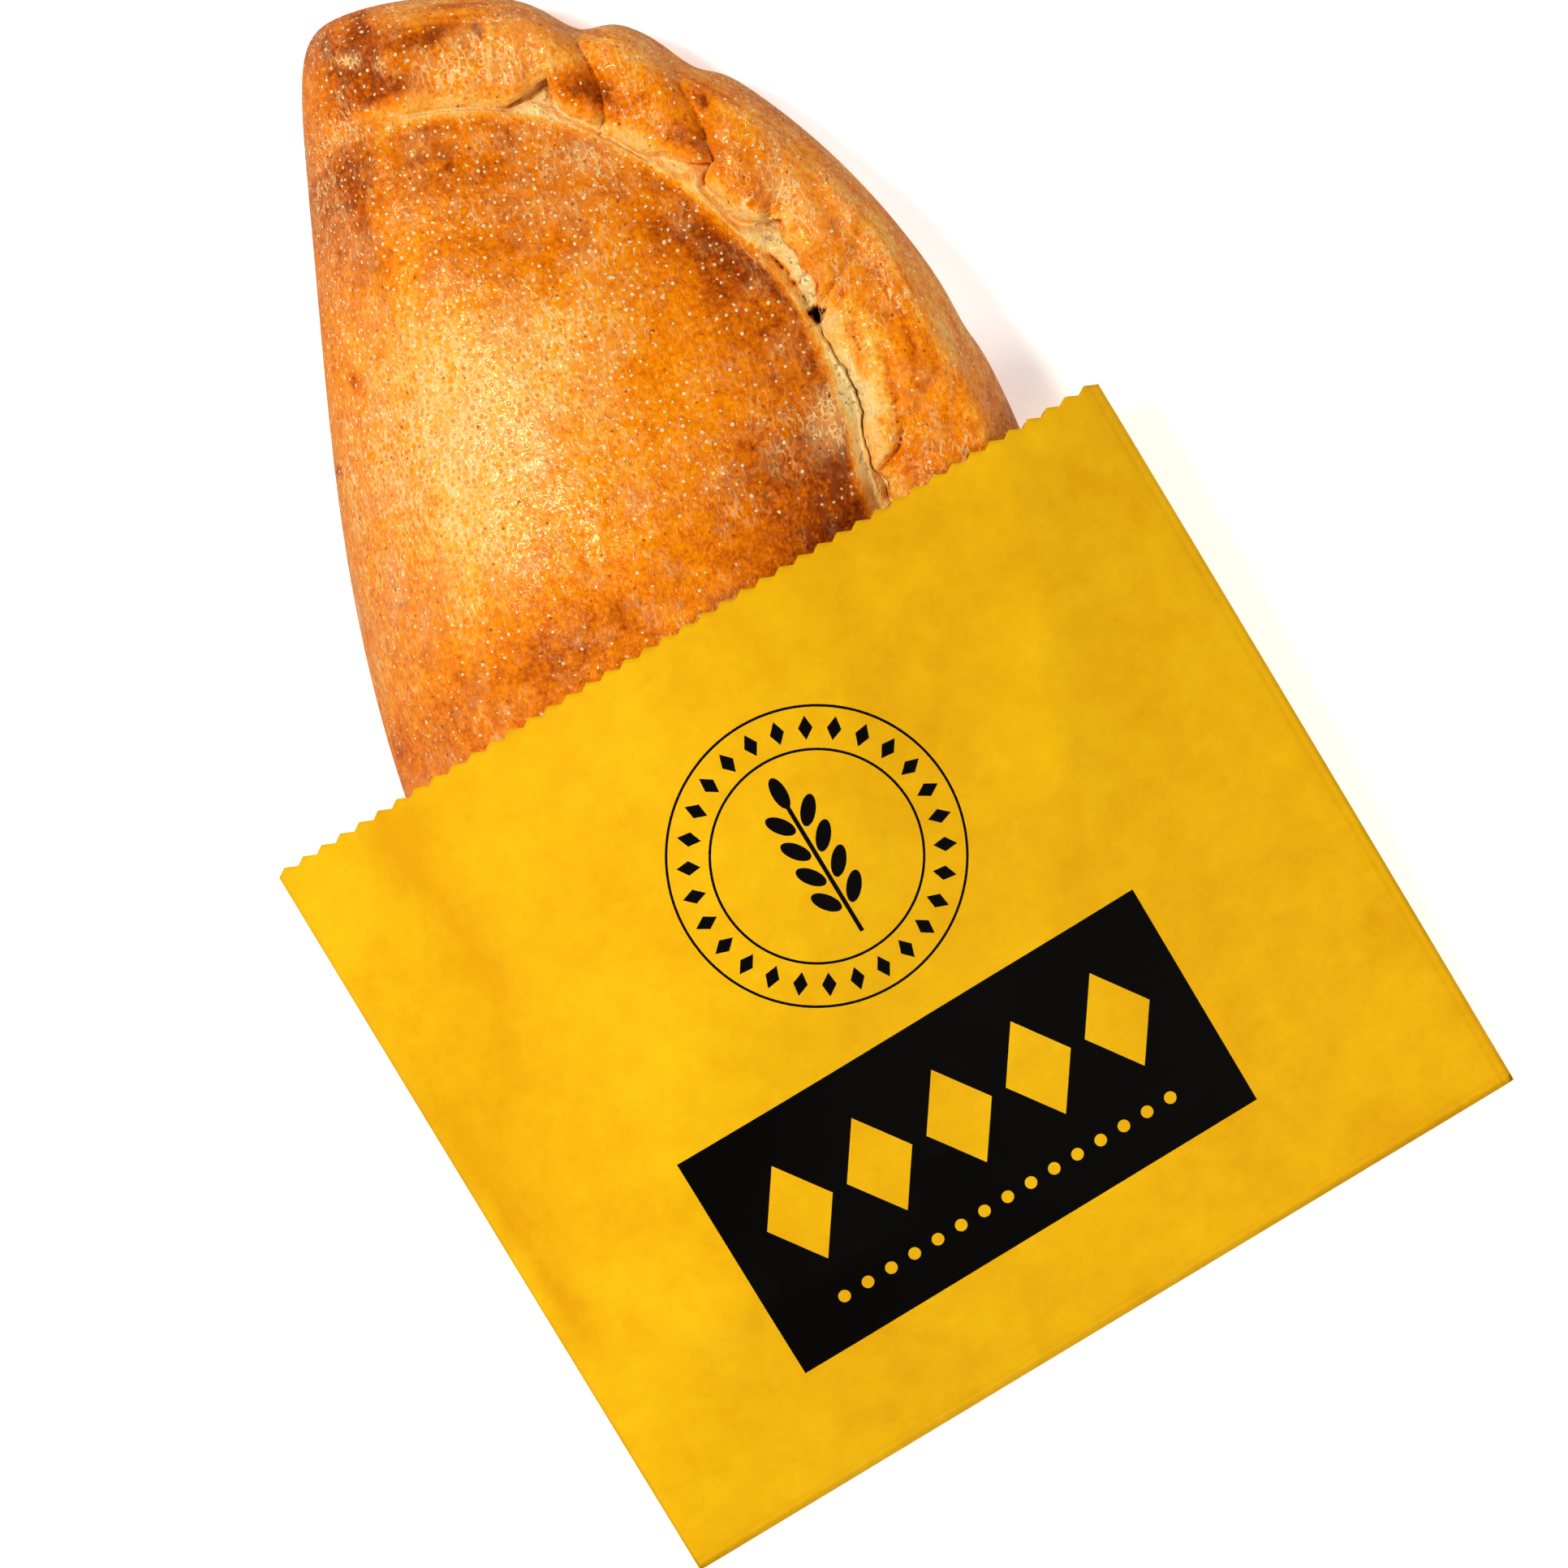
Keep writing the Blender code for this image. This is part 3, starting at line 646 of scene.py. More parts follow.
def buildPasty(material):
    grid = pastyRings()
    raiseRelief(grid)
    levels = {"bake": bakeLevels(grid), "bloomAndSheen": bloomAndSheenLevels(grid), "dots": dotLevels(grid)}
    rays, rings = grid["x"].shape
    bm = bmesh.new()
    bmesh.ops.create_uvsphere(bm, u_segments=rays, v_segments=rings - 1, radius=1)
    mesh = meshFrom(bm, "pasty_crust")
    unit = pointsOf(mesh).astype(float)
    ring = np.rint(np.arccos(np.clip(unit[:, 2], -1, 1)) / math.pi * (rings - 1)).astype(int)
    ray = np.rint(np.arctan2(unit[:, 1], unit[:, 0]) / math.tau * rays).astype(int) % rays
    local = np.stack([grid[axis][ray, ring] for axis in "xyz"], axis=1)
    to = makePlace()
    placed = (local * mm) @ np.array(to.to_3x3()).T + np.array(to.translation)
    # inside the bag the base lies on the paper and not on the table
    inBag = 1 - smoothStep(placed[:, 1] - bagHigh.y, 10 * mm, 34 * mm)
    onPaper = pasty["paperBelow"] * mm * inBag
    low = 1 - np.clip(placed[:, 2] / (4 * mm), 0, 1)
    placed[:, 2] = np.maximum(placed[:, 2], 0) + onPaper * low
    mesh.vertices.foreach_set("co", placed.astype(np.float32).ravel())
    for name, level in levels.items():
        addLevel(mesh, name, level[ray, ring])
    flat = np.stack([grid["flatX"][ray, ring], grid["flatY"][ray, ring], 0 * ray], axis=1)
    layer = mesh.attributes.new("flat", "FLOAT_VECTOR", "POINT")
    layer.data.foreach_set("vector", (flat * mm).astype(np.float32).ravel())
    mesh.update()
    print("pasty:", len(mesh.vertices), "points")
    return finishPiece("crust", mesh, material, "pasty")


def makePlace():
    # from the pasty's own plan to its place in the bag
    x = bagLow.x + (bag["paperInFrame"] + pasty["fromFold"]) * mm
    y = bagHigh.y + pasty["fromMouth"] * mm
    turn = Matrix.Rotation(math.radians(pasty["turn"]), 4, "Z")
    return Matrix.Translation((x, y, 0)) @ turn


# The bag's own plan, in mm: x from the left fold, v from the mouth towards the foot.

bag = {
    "width": 150.8,
    "depth": 129.5,
    "paper": 0.18,
    "paperInFrame": 0.5,  # the fixed frame's paper, which the folds lie inside
    "teeth": 43,
    "toothDepth": 0.9,
    "columns": 215,
    "rows": 108,
    "coarse": (76, 66),  # points across and down of the grid that is pulled taut first
    "pulls": 2500,
    "sideRise": 14.0,  # height of the side folds at the mouth
    "lift": 0.35,  # the back sheet above the table, for the seams under it
    "slopeAtMouth": 22.0,  # width over which the back sheet climbs to the left fold
    "slopeAtFoot": 11.0,
    "rightSlope": 16.0,
}

# Soft creases in the front sheet: from, to, width and height of the ridge or dent.
paperCreases = named(
    ("start", "end", "width", "height"),
    ((19, -2), (21, 32), 4.5, -2.0),
    ((22, 30), (13, 52), 5.0, -1.1),
    ((7, -1), (12, 12), 1.4, 0.35),
    ((3, 64), (4, 88), 1.8, -0.8),
    ((2, 78), (11, 91), 1.8, -0.5),
    ((138, 3), (146, 7), 1.2, 0.5),
    ((144, 95), (151, 103), 2.0, -0.6),
    ((128, 118), (149, 127), 2.6, 0.5),
    ((122, 127), (146, 114), 3.0, -0.35),
    ((4, 44), (4, 94), 3.5, -0.8),
    ((60, 4), (66, 40), 5.0, 0.3),
    ((104, 3), (118, 60), 6.0, 0.35),
)


def sideFoldHeight(v):
    return bag["lift"] + bag["sideRise"] * (1 - (v / bag["depth"]) ** 1.6)


def backHeight(x, v):
    # the back sheet lies on the table and climbs to the folds at both sides
    share = v / bag["depth"]
    left = bag["slopeAtMouth"] + (bag["slopeAtFoot"] - bag["slopeAtMouth"]) * share
    climb = np.maximum(1 - x / left, 1 - (bag["width"] - x) / bag["rightSlope"])
    fold = sideFoldHeight(v)
    return bag["lift"] + (fold - bag["lift"]) * np.maximum(climb, 0) ** 1.6


def spread(grid, columns, rows):
    # the same heights on a grid of this many columns and rows
    oldRows, oldColumns = grid.shape
    x = np.linspace(0, oldColumns - 1, columns)
    y = np.linspace(0, oldRows - 1, rows)
    wide = np.array([np.interp(x, np.arange(oldColumns), row) for row in grid])
    return np.array([np.interp(y, np.arange(oldRows), col) for col in wide.T]).T


def pullTaut(height, floor, folds, times):
    # each point settles between its neighbours, but not below what it lies on
    for _ in range(times):
        padded = np.vstack([2 * height[0] - height[1], height, height[-1]])
        around = padded[:-2, 1:-1] + padded[2:, 1:-1] + height[:, :-2] + height[:, 2:]
        height[:, 1:-1] = np.maximum(around / 4, floor[:, 1:-1])
        height[:, 0] = height[:, -1] = folds
        height[-1] = bag["lift"]
    return height


def frontHeights(crustPiece):
    # the front sheet is pulled taut on a coarse grid, and settles on the fine one
    tree = BVHTree.FromObject(crustPiece, bpy.context.evaluated_depsgraph_get())
    acrossCount, downCount = bag["coarse"]
    coarseX = np.linspace(0, bag["width"], acrossCount)
    coarseV = np.linspace(0, bag["depth"], downCount)
    left = bagLow.x + bag["paperInFrame"] * mm
    top = np.zeros((downCount, acrossCount))
    for row, v in enumerate(coarseV):
        for column, x in enumerate(coarseX):
            above = Vector((left + x * mm, bagHigh.y - v * mm, 1))
            hit = tree.ray_cast(above, Vector((0, 0, -1)))[0]
            top[row, column] = hit.z / mm if hit is not None else 0
    # each point takes the highest of itself and its eight neighbours
    wide = np.pad(top, 1, mode="edge")
    steps = [(down, across) for down in range(3) for across in range(3)]
    top = np.max([wide[i : i + downCount, j : j + acrossCount] for i, j in steps], axis=0)
    gridX, gridV = np.meshgrid(coarseX, coarseV)
    apart = 0.12 + 0.38 * np.clip((bag["depth"] - gridV) / 8, 0, 1)
    floor = np.maximum(top + 0.4, backHeight(gridX, gridV) + apart)
    folds = sideFoldHeight(coarseV)
    height = pullTaut(np.maximum(floor, folds[:, None]), floor, folds, bag["pulls"])
    columns, rows = bag["columns"] + 1, bag["rows"] + 1
    height, floor = spread(height, columns, rows), spread(floor, columns, rows)
    return pullTaut(height, floor, sideFoldHeight(np.linspace(0, bag["depth"], rows)), 60)


def creaseRelief(x, v):
    # sharp-topped ridges and dents that fade at both ends
    relief = np.zeros_like(x)
    for crease in paperCreases:
        startX, startV = crease["start"]
        runX, runV = crease["end"][0] - startX, crease["end"][1] - startV
        length = math.hypot(runX, runV)
        along = ((x - startX) * runX + (v - startV) * runV) / length**2
        aside = ((x - startX) * runV - (v - startV) * runX) / length
        ends = between(along, -0.15, 0.15, 0.85, 1.15)
        relief += crease["height"] * bell(aside, crease["width"], 1) * ends
    return relief


def buildBag(material, crustPiece):
    columns, rows = bag["columns"], bag["rows"]
    front = frontHeights(crustPiece)
    bm = bmesh.new()
    bmesh.ops.create_grid(bm, x_segments=2 * columns, y_segments=rows, size=1)
    mesh = meshFrom(bm, "paper_bag")
    unit = pointsOf(mesh)
    # the grid goes across the front sheet and back across the back one
    around = np.rint((unit[:, 0] + 1) * columns).astype(int)
    row = np.rint((1 - unit[:, 1]) / 2 * rows).astype(int)
    onFront = around <= columns
    column = np.where(onFront, around, 2 * columns - around)
    x = bag["width"] * column / columns
    v = bag["depth"] * row / rows
    inner = np.minimum(np.minimum(x, bag["width"] - x) / 3, 1)
    inner *= np.minimum((bag["depth"] - v) / 9, 1)
    wave = noiseField(x, v, 26, 11) * 0.35 + noiseField(x, v, 9, 12) * 0.1
    crease = creaseRelief(x, v) * np.clip(inner, 0, 1)
    frontZ = front[row, column] + (wave + 0.45) * np.clip(inner, 0, 1) + crease
    z = np.where(onFront, frontZ, backHeight(x, v))
    part = x / bag["width"] * bag["teeth"] % 1
    tooth = np.where(part < 0.4, 1 - part / 0.4, (part - 0.4) / 0.6)
    vCut = v + bag["toothDepth"] * tooth * np.clip(1 - v / 3, 0, 1)
    left = bagLow.x + bag["paperInFrame"] * mm
    placed = np.stack([left + x * mm, bagHigh.y - vCut * mm, z * mm], axis=1)
    mesh.vertices.foreach_set("co", placed.astype(np.float32).ravel())
    # the creases' relief, which the paper's material also paints as shade in the dents and light on
    # the ridges
    addLevel(mesh, "crease", crease * onFront)
    corner = np.empty(len(mesh.loops), np.int32)
    mesh.loops.foreach_get("vertex_index", corner)
    sheet = mesh.uv_layers.new(name="sheet")
    u = np.where(onFront, x, x + 300) / 100  # the back sheet is clear of the print
    flat = np.stack([u[corner], vCut[corner] / 100], axis=1)
    sheet.uv.foreach_set("vector", flat.astype(np.float32).ravel())
    bm = bmesh.new()
    bm.from_mesh(mesh)
    bmesh.ops.remove_doubles(bm, verts=bm.verts, dist=0.01 * mm)
    bmesh.ops.recalc_face_normals(bm, faces=bm.faces)
    bm.to_mesh(mesh)
    bm.free()
    made = finishPiece("bag_paper", mesh, material, "bag")
    wall = made.modifiers.new("paper", "SOLIDIFY")
    wall.thickness = bag["paper"] * mm
    wall.offset = 1
    print("bag:", len(mesh.vertices), "points")
    return made


def srgb(red, green, blue):
    # a colour in steps of 0 to 255, as the shaders take it
    shares = [step / 255 for step in (red, green, blue)]
    return [c / 12.92 if c <= 0.0393 else ((c + 0.055) / 1.055) ** 2.4 for c in shares] + [1.0]


def newMaterial(name, values):
    material = bpy.data.materials.new(name)
    material.use_nodes = True
    shader = material.node_tree.nodes["Principled BSDF"]
    for socket, value in values.items():
        shader.inputs[socket].default_value = value
    print("material:", name)
    return material, material.node_tree, shader


def addNode(tree, kind, inputs=(), **settings):
    node = tree.nodes.new(kind)
    for key, value in settings.items():
        setattr(node, key, value)
    for socket, value in dict(inputs).items():
        if isinstance(value, bpy.types.NodeSocket):
            tree.links.new(value, node.inputs[socket])
        else:
            node.inputs[socket].default_value = value
    return node


def calc(tree, operation, *values):
    node = addNode(tree, "ShaderNodeMath", dict(enumerate(values)), operation=operation)
    return node.outputs[0]


def calcVector(tree, operation, *values):
    node = addNode(tree, "ShaderNodeVectorMath", dict(enumerate(values)), operation=operation)
    return node.outputs[0]


def fade(tree, value, low, high, start=0.0, end=1.0):
    # start at low, and end at high
    node = addNode(tree, "ShaderNodeMapRange", {"Value": value, 1: low, 2: high, 3: start, 4: end})
    return node.outputs[0]


def attribute(tree, name, output="Fac"):
    return addNode(tree, "ShaderNodeAttribute", attribute_name=name).outputs[output]


def noiseNode(tree, where, size, detail=3.0, rough=0.55, warp=0.0, output="Fac"):
    # noise with lumps about size mm across
    inputs = {"Vector": where, "Scale": 1000.0 / size, "Detail": detail}
    inputs.update({"Roughness": rough, "Distortion": warp})
    return addNode(tree, "ShaderNodeTexNoise", inputs).outputs[output]


def addBump(tree, shader, height, strength, distance):
    inputs = {"Height": height, "Strength": strength, "Distance": distance}
    bump = addNode(tree, "ShaderNodeBump", inputs)
    tree.links.new(bump.outputs["Normal"], shader.inputs["Normal"])


def mixColour(tree, factor, first, second):
    # sockets 6 and 7 are the mix's two colours
    node = addNode(tree, "ShaderNodeMix", data_type="RGBA", inputs={0: factor, 6: first, 7: second})
    return node.outputs[2]


def cellsNode(tree, flat, pitch):
    # scattered points about pitch mm apart: the distance to the nearest, in mm, and its
    # own two random numbers
    inputs = {"Vector": flat, "Scale": 1000.0 / pitch, "Randomness": 1.0}
    cell = addNode(tree, "ShaderNodeTexVoronoi", inputs, voronoi_dimensions="2D")
    parts = addNode(tree, "ShaderNodeSeparateColor", {"Color": cell.outputs["Color"]})
    away = calc(tree, "MULTIPLY", cell.outputs["Distance"], pitch)
    return away, parts.outputs[0], parts.outputs[1]


def dotsNode(tree, flat, pitch, radius, chance):
    # scattered round dots, each up to radius mm
    away, first, second = cellsNode(tree, flat, pitch)
    size = calc(tree, "MULTIPLY_ADD", second, radius * 0.5, radius * 0.5)
    dot = fade(tree, calc(tree, "SUBTRACT", size, away), -0.05, 0.07)
    return calc(tree, "MULTIPLY", dot, calc(tree, "LESS_THAN", first, chance))


crust = {
    "stops": [  # from raw dough to nearly burnt, and the painted shadow inside a hole
        (0.0, (240, 206, 136)),
        (0.07, (250, 214, 138)),
        (0.14, (250, 198, 110)),
        (0.25, (255, 179, 60)),
        (0.4, (252, 146, 6)),
        (0.52, (240, 126, 0)),
        (0.64, (214, 104, 0)),
        (0.76, (184, 80, 0)),
        (0.88, (144, 54, 0)),
        (1.0, (22, 10, 4)),
    ],
    "darkest": 0.88,
    "cloudy": 0.45,
    "freckled": 0.5,
    "grainy": 0.6,
    "roughness": 0.2,
    "dullness": 0.12,  # extra roughness where the crust isn't glazed
    "gloss": 0.55,
    "dullGloss": 0.18,
    "glossTint": (255, 220, 165),
    "bumpDepth": 0.42,  # mm
    "porePitch": 1.9,
    "poreRing": 0.56,  # radius of the pale ring round a pore
    "blisterPitch": 1.7,
    "blisterRadius": 0.3,
    "pinholePitch": 3.4,
    "pinholeRadius": 0.26,
    # pale blisters, with painted glints on them
    "blisterAndGlint": (255, 236, 178),
    # painted highlights and sheen of the glaze
    "bloomAndSheen": (255, 212, 138),
    "pore": (236, 116, 0),
    "pinhole": (140, 54, 4),
    "crumb": (150, 104, 50),
}


def makeCrust():
    material, tree, shader = newMaterial("baked_crust", {"Specular Tint": srgb(*crust["glossTint"])})
    where = addNode(tree, "ShaderNodeTexCoord").outputs["Object"]
    bake = attribute(tree, "bake")
    baked = fade(tree, bake, 0.05, 0.3)  # 0 on raw dough
    cloud = noiseNode(tree, where, 10, 4, 0.6, 0.4)
    freckle = noiseNode(tree, where, 2.4, 4, 0.6, 0.3)
    grain = noiseNode(tree, where, 0.8, 3, 0.6)
    uneven = calc(tree, "MULTIPLY_ADD", cloud, crust["cloudy"], -crust["cloudy"] / 2)
    for field, strength in ((freckle, crust["freckled"]), (grain, crust["grainy"])):
        part = calc(tree, "MULTIPLY_ADD", field, strength, -strength / 2)
        uneven = calc(tree, "ADD", uneven, part)
    level = calc(tree, "MULTIPLY_ADD", uneven, calc(tree, "MULTIPLY_ADD", baked, 0.8, 0.2), bake)
    level = calc(tree, "MINIMUM", level, calc(tree, "MAXIMUM", bake, crust["darkest"]))
    ramp = addNode(tree, "ShaderNodeValToRGB", {"Fac": level})
    while len(ramp.color_ramp.elements) < len(crust["stops"]):
        ramp.color_ramp.elements.new(0.5)
    for element, (place, colour) in zip(ramp.color_ramp.elements, crust["stops"]):
        element.position, element.color = place, srgb(*colour)

    # pores, each with a pale ring round it, and curls of bloom: the rings and curls are painted
    # highlights of the glaze; blisters, pale as painted glints; and a few dark pinholes
    flat = attribute(tree, "flat", "Vector")
    bloomAndSheenLevel = attribute(tree, "bloomAndSheen")
    # the pattern wanders by up to 0.7 mm, so that no dot is quite round
    wander = noiseNode(tree, where, 2, 2, 0.5, output="Color")
    wander = calcVector(tree, "MULTIPLY_ADD", wander, (0.0007, 0.0007, 0), flat)
    area = calc(tree, "MULTIPLY_ADD", noiseNode(tree, where, 6, 3, 0.6), 1.6, -0.8)
    area = calc(tree, "MULTIPLY", fade(tree, calc(tree, "ADD", area, bloomAndSheenLevel), 0.0, 0.8), baked)
    away, _, second = cellsNode(tree, wander, crust["porePitch"])
    away = calc(tree, "ADD", away, calc(tree, "MULTIPLY_ADD", second, 0.16, -0.08))
    fromRing = calc(tree, "ABSOLUTE", calc(tree, "SUBTRACT", away, crust["poreRing"]))
    ring = calc(tree, "MULTIPLY", fade(tree, fromRing, 0.2, 0.05), fade(tree, bloomAndSheenLevel, 0.3, 0.8))
    drawnOut = calcVector(tree, "MULTIPLY", wander, (1, 0.36, 1))
    curl = noiseNode(tree, drawnOut, 1.3, 2, 0.5)
    curl = calc(tree, "ABSOLUTE", calc(tree, "SUBTRACT", curl, 0.5))
    lace = calc(tree, "MAXIMUM", ring, fade(tree, curl, 0.05, 0.012))
    # painted sheen: the lace of painted highlights, and a cloudy pale veil
    veil = calc(tree, "MAXIMUM", lace, fade(tree, cloud, 0.45, 0.95))
    bloomAndSheen = calc(tree, "MULTIPLY", area, veil)
    pore = calc(tree, "MULTIPLY", fade(tree, away, 0.42, 0.16), baked)
    chance = calc(tree, "MULTIPLY", attribute(tree, "dots"), 0.9)
    blisterAndGlint = dotsNode(tree, wander, crust["blisterPitch"], crust["blisterRadius"], chance)
    blisterAndGlint = calc(tree, "MULTIPLY", blisterAndGlint, baked)
    pinhole = dotsNode(tree, flat, crust["pinholePitch"], crust["pinholeRadius"], 0.25)
    # crumbs and holes in the raw dough
    crumb = fade(tree, noiseNode(tree, where, 0.9, 2, 0.5), 0.56, 0.66)
    crumb = calc(tree, "MULTIPLY", crumb, fade(tree, bake, 0.1, 0.04))
    colour = ramp.outputs["Color"]
    # the painted highlights of bloom and sheen and the blisters' painted glints, and the pores',
    # pinholes' and crumbs' own colours
    for mask, amount, paint in (
        (bloomAndSheen, 0.9, "bloomAndSheen"),
        (pore, 0.55, "pore"),
        (blisterAndGlint, 0.8, "blisterAndGlint"),
        (pinhole, 0.7, "pinhole"),
        (crumb, 0.42, "crumb"),
    ):
        colour = mixColour(tree, calc(tree, "MULTIPLY", mask, amount), colour, srgb(*crust[paint]))
    tree.links.new(colour, shader.inputs["Base Color"])

    wrinkle = noiseNode(tree, where, 1.6, 1, 0.4, 1.4)
    ripple = noiseNode(tree, where, 4.5, 1, 0.4, 0.8)
    height = calc(tree, "MULTIPLY", blisterAndGlint, 0.2)
    for field, amount in (
        (pinhole, -0.3),
        (crumb, -0.6),
        (pore, -0.2),
        (lace, 0.15),
        (wrinkle, 0.5),
        (ripple, 1.4),
    ):
        height = calc(tree, "MULTIPLY_ADD", field, amount, height)
    addBump(tree, shader, height, 1.0, crust["bumpDepth"] * mm)
    # the glaze is dull where it is baked brown, and where it has little bloom and painted sheen
    glazed = calc(tree, "MINIMUM", fade(tree, level, 0.75, 0.4), fade(tree, bloomAndSheenLevel, 0.0, 0.25))
    rough = calc(tree, "MULTIPLY_ADD", cloud, 0.16, crust["roughness"] + crust["dullness"] - 0.08)
    rough = calc(tree, "MULTIPLY_ADD", glazed, -crust["dullness"], rough)
    tree.links.new(rough, shader.inputs["Roughness"])
    gloss = calc(tree, "MULTIPLY_ADD", glazed, crust["gloss"] - crust["dullGloss"], crust["dullGloss"])
    tree.links.new(gloss, shader.inputs["Specular IOR Level"])
    return material


def insideBox(tree, u, v, low, high):
    # 1 inside the upright box from low to high
    result = 1
    for value, start, end in ((u, low[0], high[0]), (v, low[1], high[1])):
        off = calc(tree, "ABSOLUTE", calc(tree, "SUBTRACT", value, (start + end) / 2))
        result = calc(tree, "MULTIPLY", calc(tree, "LESS_THAN", off, (end - start) / 2), result)
    return result


def insideOval(tree, u, v, halfWidth, halfHeight):
    across = calc(tree, "POWER", calc(tree, "DIVIDE", u, halfWidth), 2)
    along = calc(tree, "POWER", calc(tree, "DIVIDE", v, halfHeight), 2)
    return calc(tree, "LESS_THAN", calc(tree, "ADD", across, along), 1)


def insideLozenge(tree, u, v, halfWidth, halfHeight):
    across = calc(tree, "DIVIDE", calc(tree, "ABSOLUTE", u), halfWidth)
    along = calc(tree, "DIVIDE", calc(tree, "ABSOLUTE", v), halfHeight)
    return calc(tree, "LESS_THAN", calc(tree, "ADD", across, along), 1)


def fromNearest(tree, value, pitch):
    # the distance from the nearest of a row of places, one every pitch
    return calc(tree, "WRAP", value, pitch / 2, -pitch / 2)


# The print on the front sheet, in mm from the left fold and from the mouth.
printing = {
    "panelLow": (30.6, 71.9),
    "panelHigh": (114.2, 110.9),
    "rows": (  # left clear in the panel: half-sizes, pitch, middle line and half-length
        (insideLozenge, (6.0, 8.6), 14.6, 88.3, 36.5),
        (insideOval, (1.0, 1.0), 4.3, 103.4, 32.3),
    ),
    "roundel": (74.4, 41.7),
    "rings": (23.5, 16.7),
    "line": 0.42,
    "beads": 28,
    "beadRing": 20.1,
    "bead": (1.15, 1.9),
    "grain": (1.2, 2.55),
    "grainPitch": 4.6,
    "grainLean": 38,
    "grainOut": 2.5,  # from the stalk
    "ear": (8, 9.2),
    "topGrain": (1.2, 2.7),
    "topGrainUp": 11.4,
    "stalkLow": (-0.35, -9),
    "stalkHigh": (0.35, 13.6),
}


def printMask(tree, u, v):
    # the dark panel with its rows of lozenges and dots, and the roundel with an ear of wheat
    low, high = printing["panelLow"], printing["panelHigh"]
    panel = insideBox(tree, u, v, low, high)
    fromMiddle = calc(tree, "SUBTRACT", u, (low[0] + high[0]) / 2)
    for shape, size, pitch, line, reach in printing["rows"]:
        row = shape(tree, fromNearest(tree, fromMiddle, pitch), calc(tree, "SUBTRACT", v, line), *size)
        within = calc(tree, "LESS_THAN", calc(tree, "ABSOLUTE", fromMiddle), reach)
        panel = calc(tree, "SUBTRACT", panel, calc(tree, "MULTIPLY", row, within))

    du = calc(tree, "SUBTRACT", u, printing["roundel"][0])
    dv = calc(tree, "SUBTRACT", v, printing["roundel"][1])
    squares = calc(tree, "ADD", calc(tree, "POWER", du, 2), calc(tree, "POWER", dv, 2))
    radius = calc(tree, "SQRT", squares)
    shapes = []
    for ring in printing["rings"]:
        off = calc(tree, "ABSOLUTE", calc(tree, "SUBTRACT", radius, ring))
        shapes.append(calc(tree, "LESS_THAN", off, printing["line"] / 2))
    angle = fromNearest(tree, calc(tree, "ARCTAN2", dv, du), math.tau / printing["beads"])
    side = calc(tree, "MULTIPLY", angle, radius)
    between = calc(tree, "SUBTRACT", radius, printing["beadRing"])
    shapes.append(insideLozenge(tree, side, between, *printing["bead"]))

    # the ear of wheat: four pairs of leaning grains, one at the top and the stalk
    stepV = calc(tree, "ADD", dv, printing["grainPitch"] / 2)
    stepV = fromNearest(tree, stepV, printing["grainPitch"])
    leanU = calc(tree, "SUBTRACT", calc(tree, "ABSOLUTE", du), printing["grainOut"])
    lean = math.radians(printing["grainLean"])
    c, s = math.cos(lean), math.sin(lean)
    grainU = calc(tree, "MULTIPLY_ADD", leanU, c, calc(tree, "MULTIPLY", stepV, s))
    grainV = calc(tree, "MULTIPLY_ADD", leanU, -s, calc(tree, "MULTIPLY", stepV, c))
    grains = insideOval(tree, grainU, grainV, *printing["grain"])
    wide, tall = printing["ear"]
    within = insideBox(tree, du, dv, (-wide, -tall), (wide, tall))
    shapes.append(calc(tree, "MULTIPLY", grains, within))
    topV = calc(tree, "ADD", dv, printing["topGrainUp"])
    shapes.append(insideOval(tree, du, topV, *printing["topGrain"]))
    shapes.append(insideBox(tree, du, dv, printing["stalkLow"], printing["stalkHigh"]))
    for shape in shapes:
        panel = calc(tree, "MAXIMUM", panel, shape)
    return panel


paper = {
    "dark": (230, 164, 6),
    "light": (252, 195, 16),
    "ink": (4, 3, 2),
    "roughness": 0.6,
    "gloss": 0.04,
    "flecks": ((5.0, 0.75), (1.4, 0.45)),  # size in mm and strength
    "foldLine": 1.6,  # mm in from the foot and from the right fold
    # strength of the painted fold shade at the foot and at the right edge
    "footShade": 0.15,
    "sideShade": 0.25,
    "fibre": 1000 / 900,  # mm
}


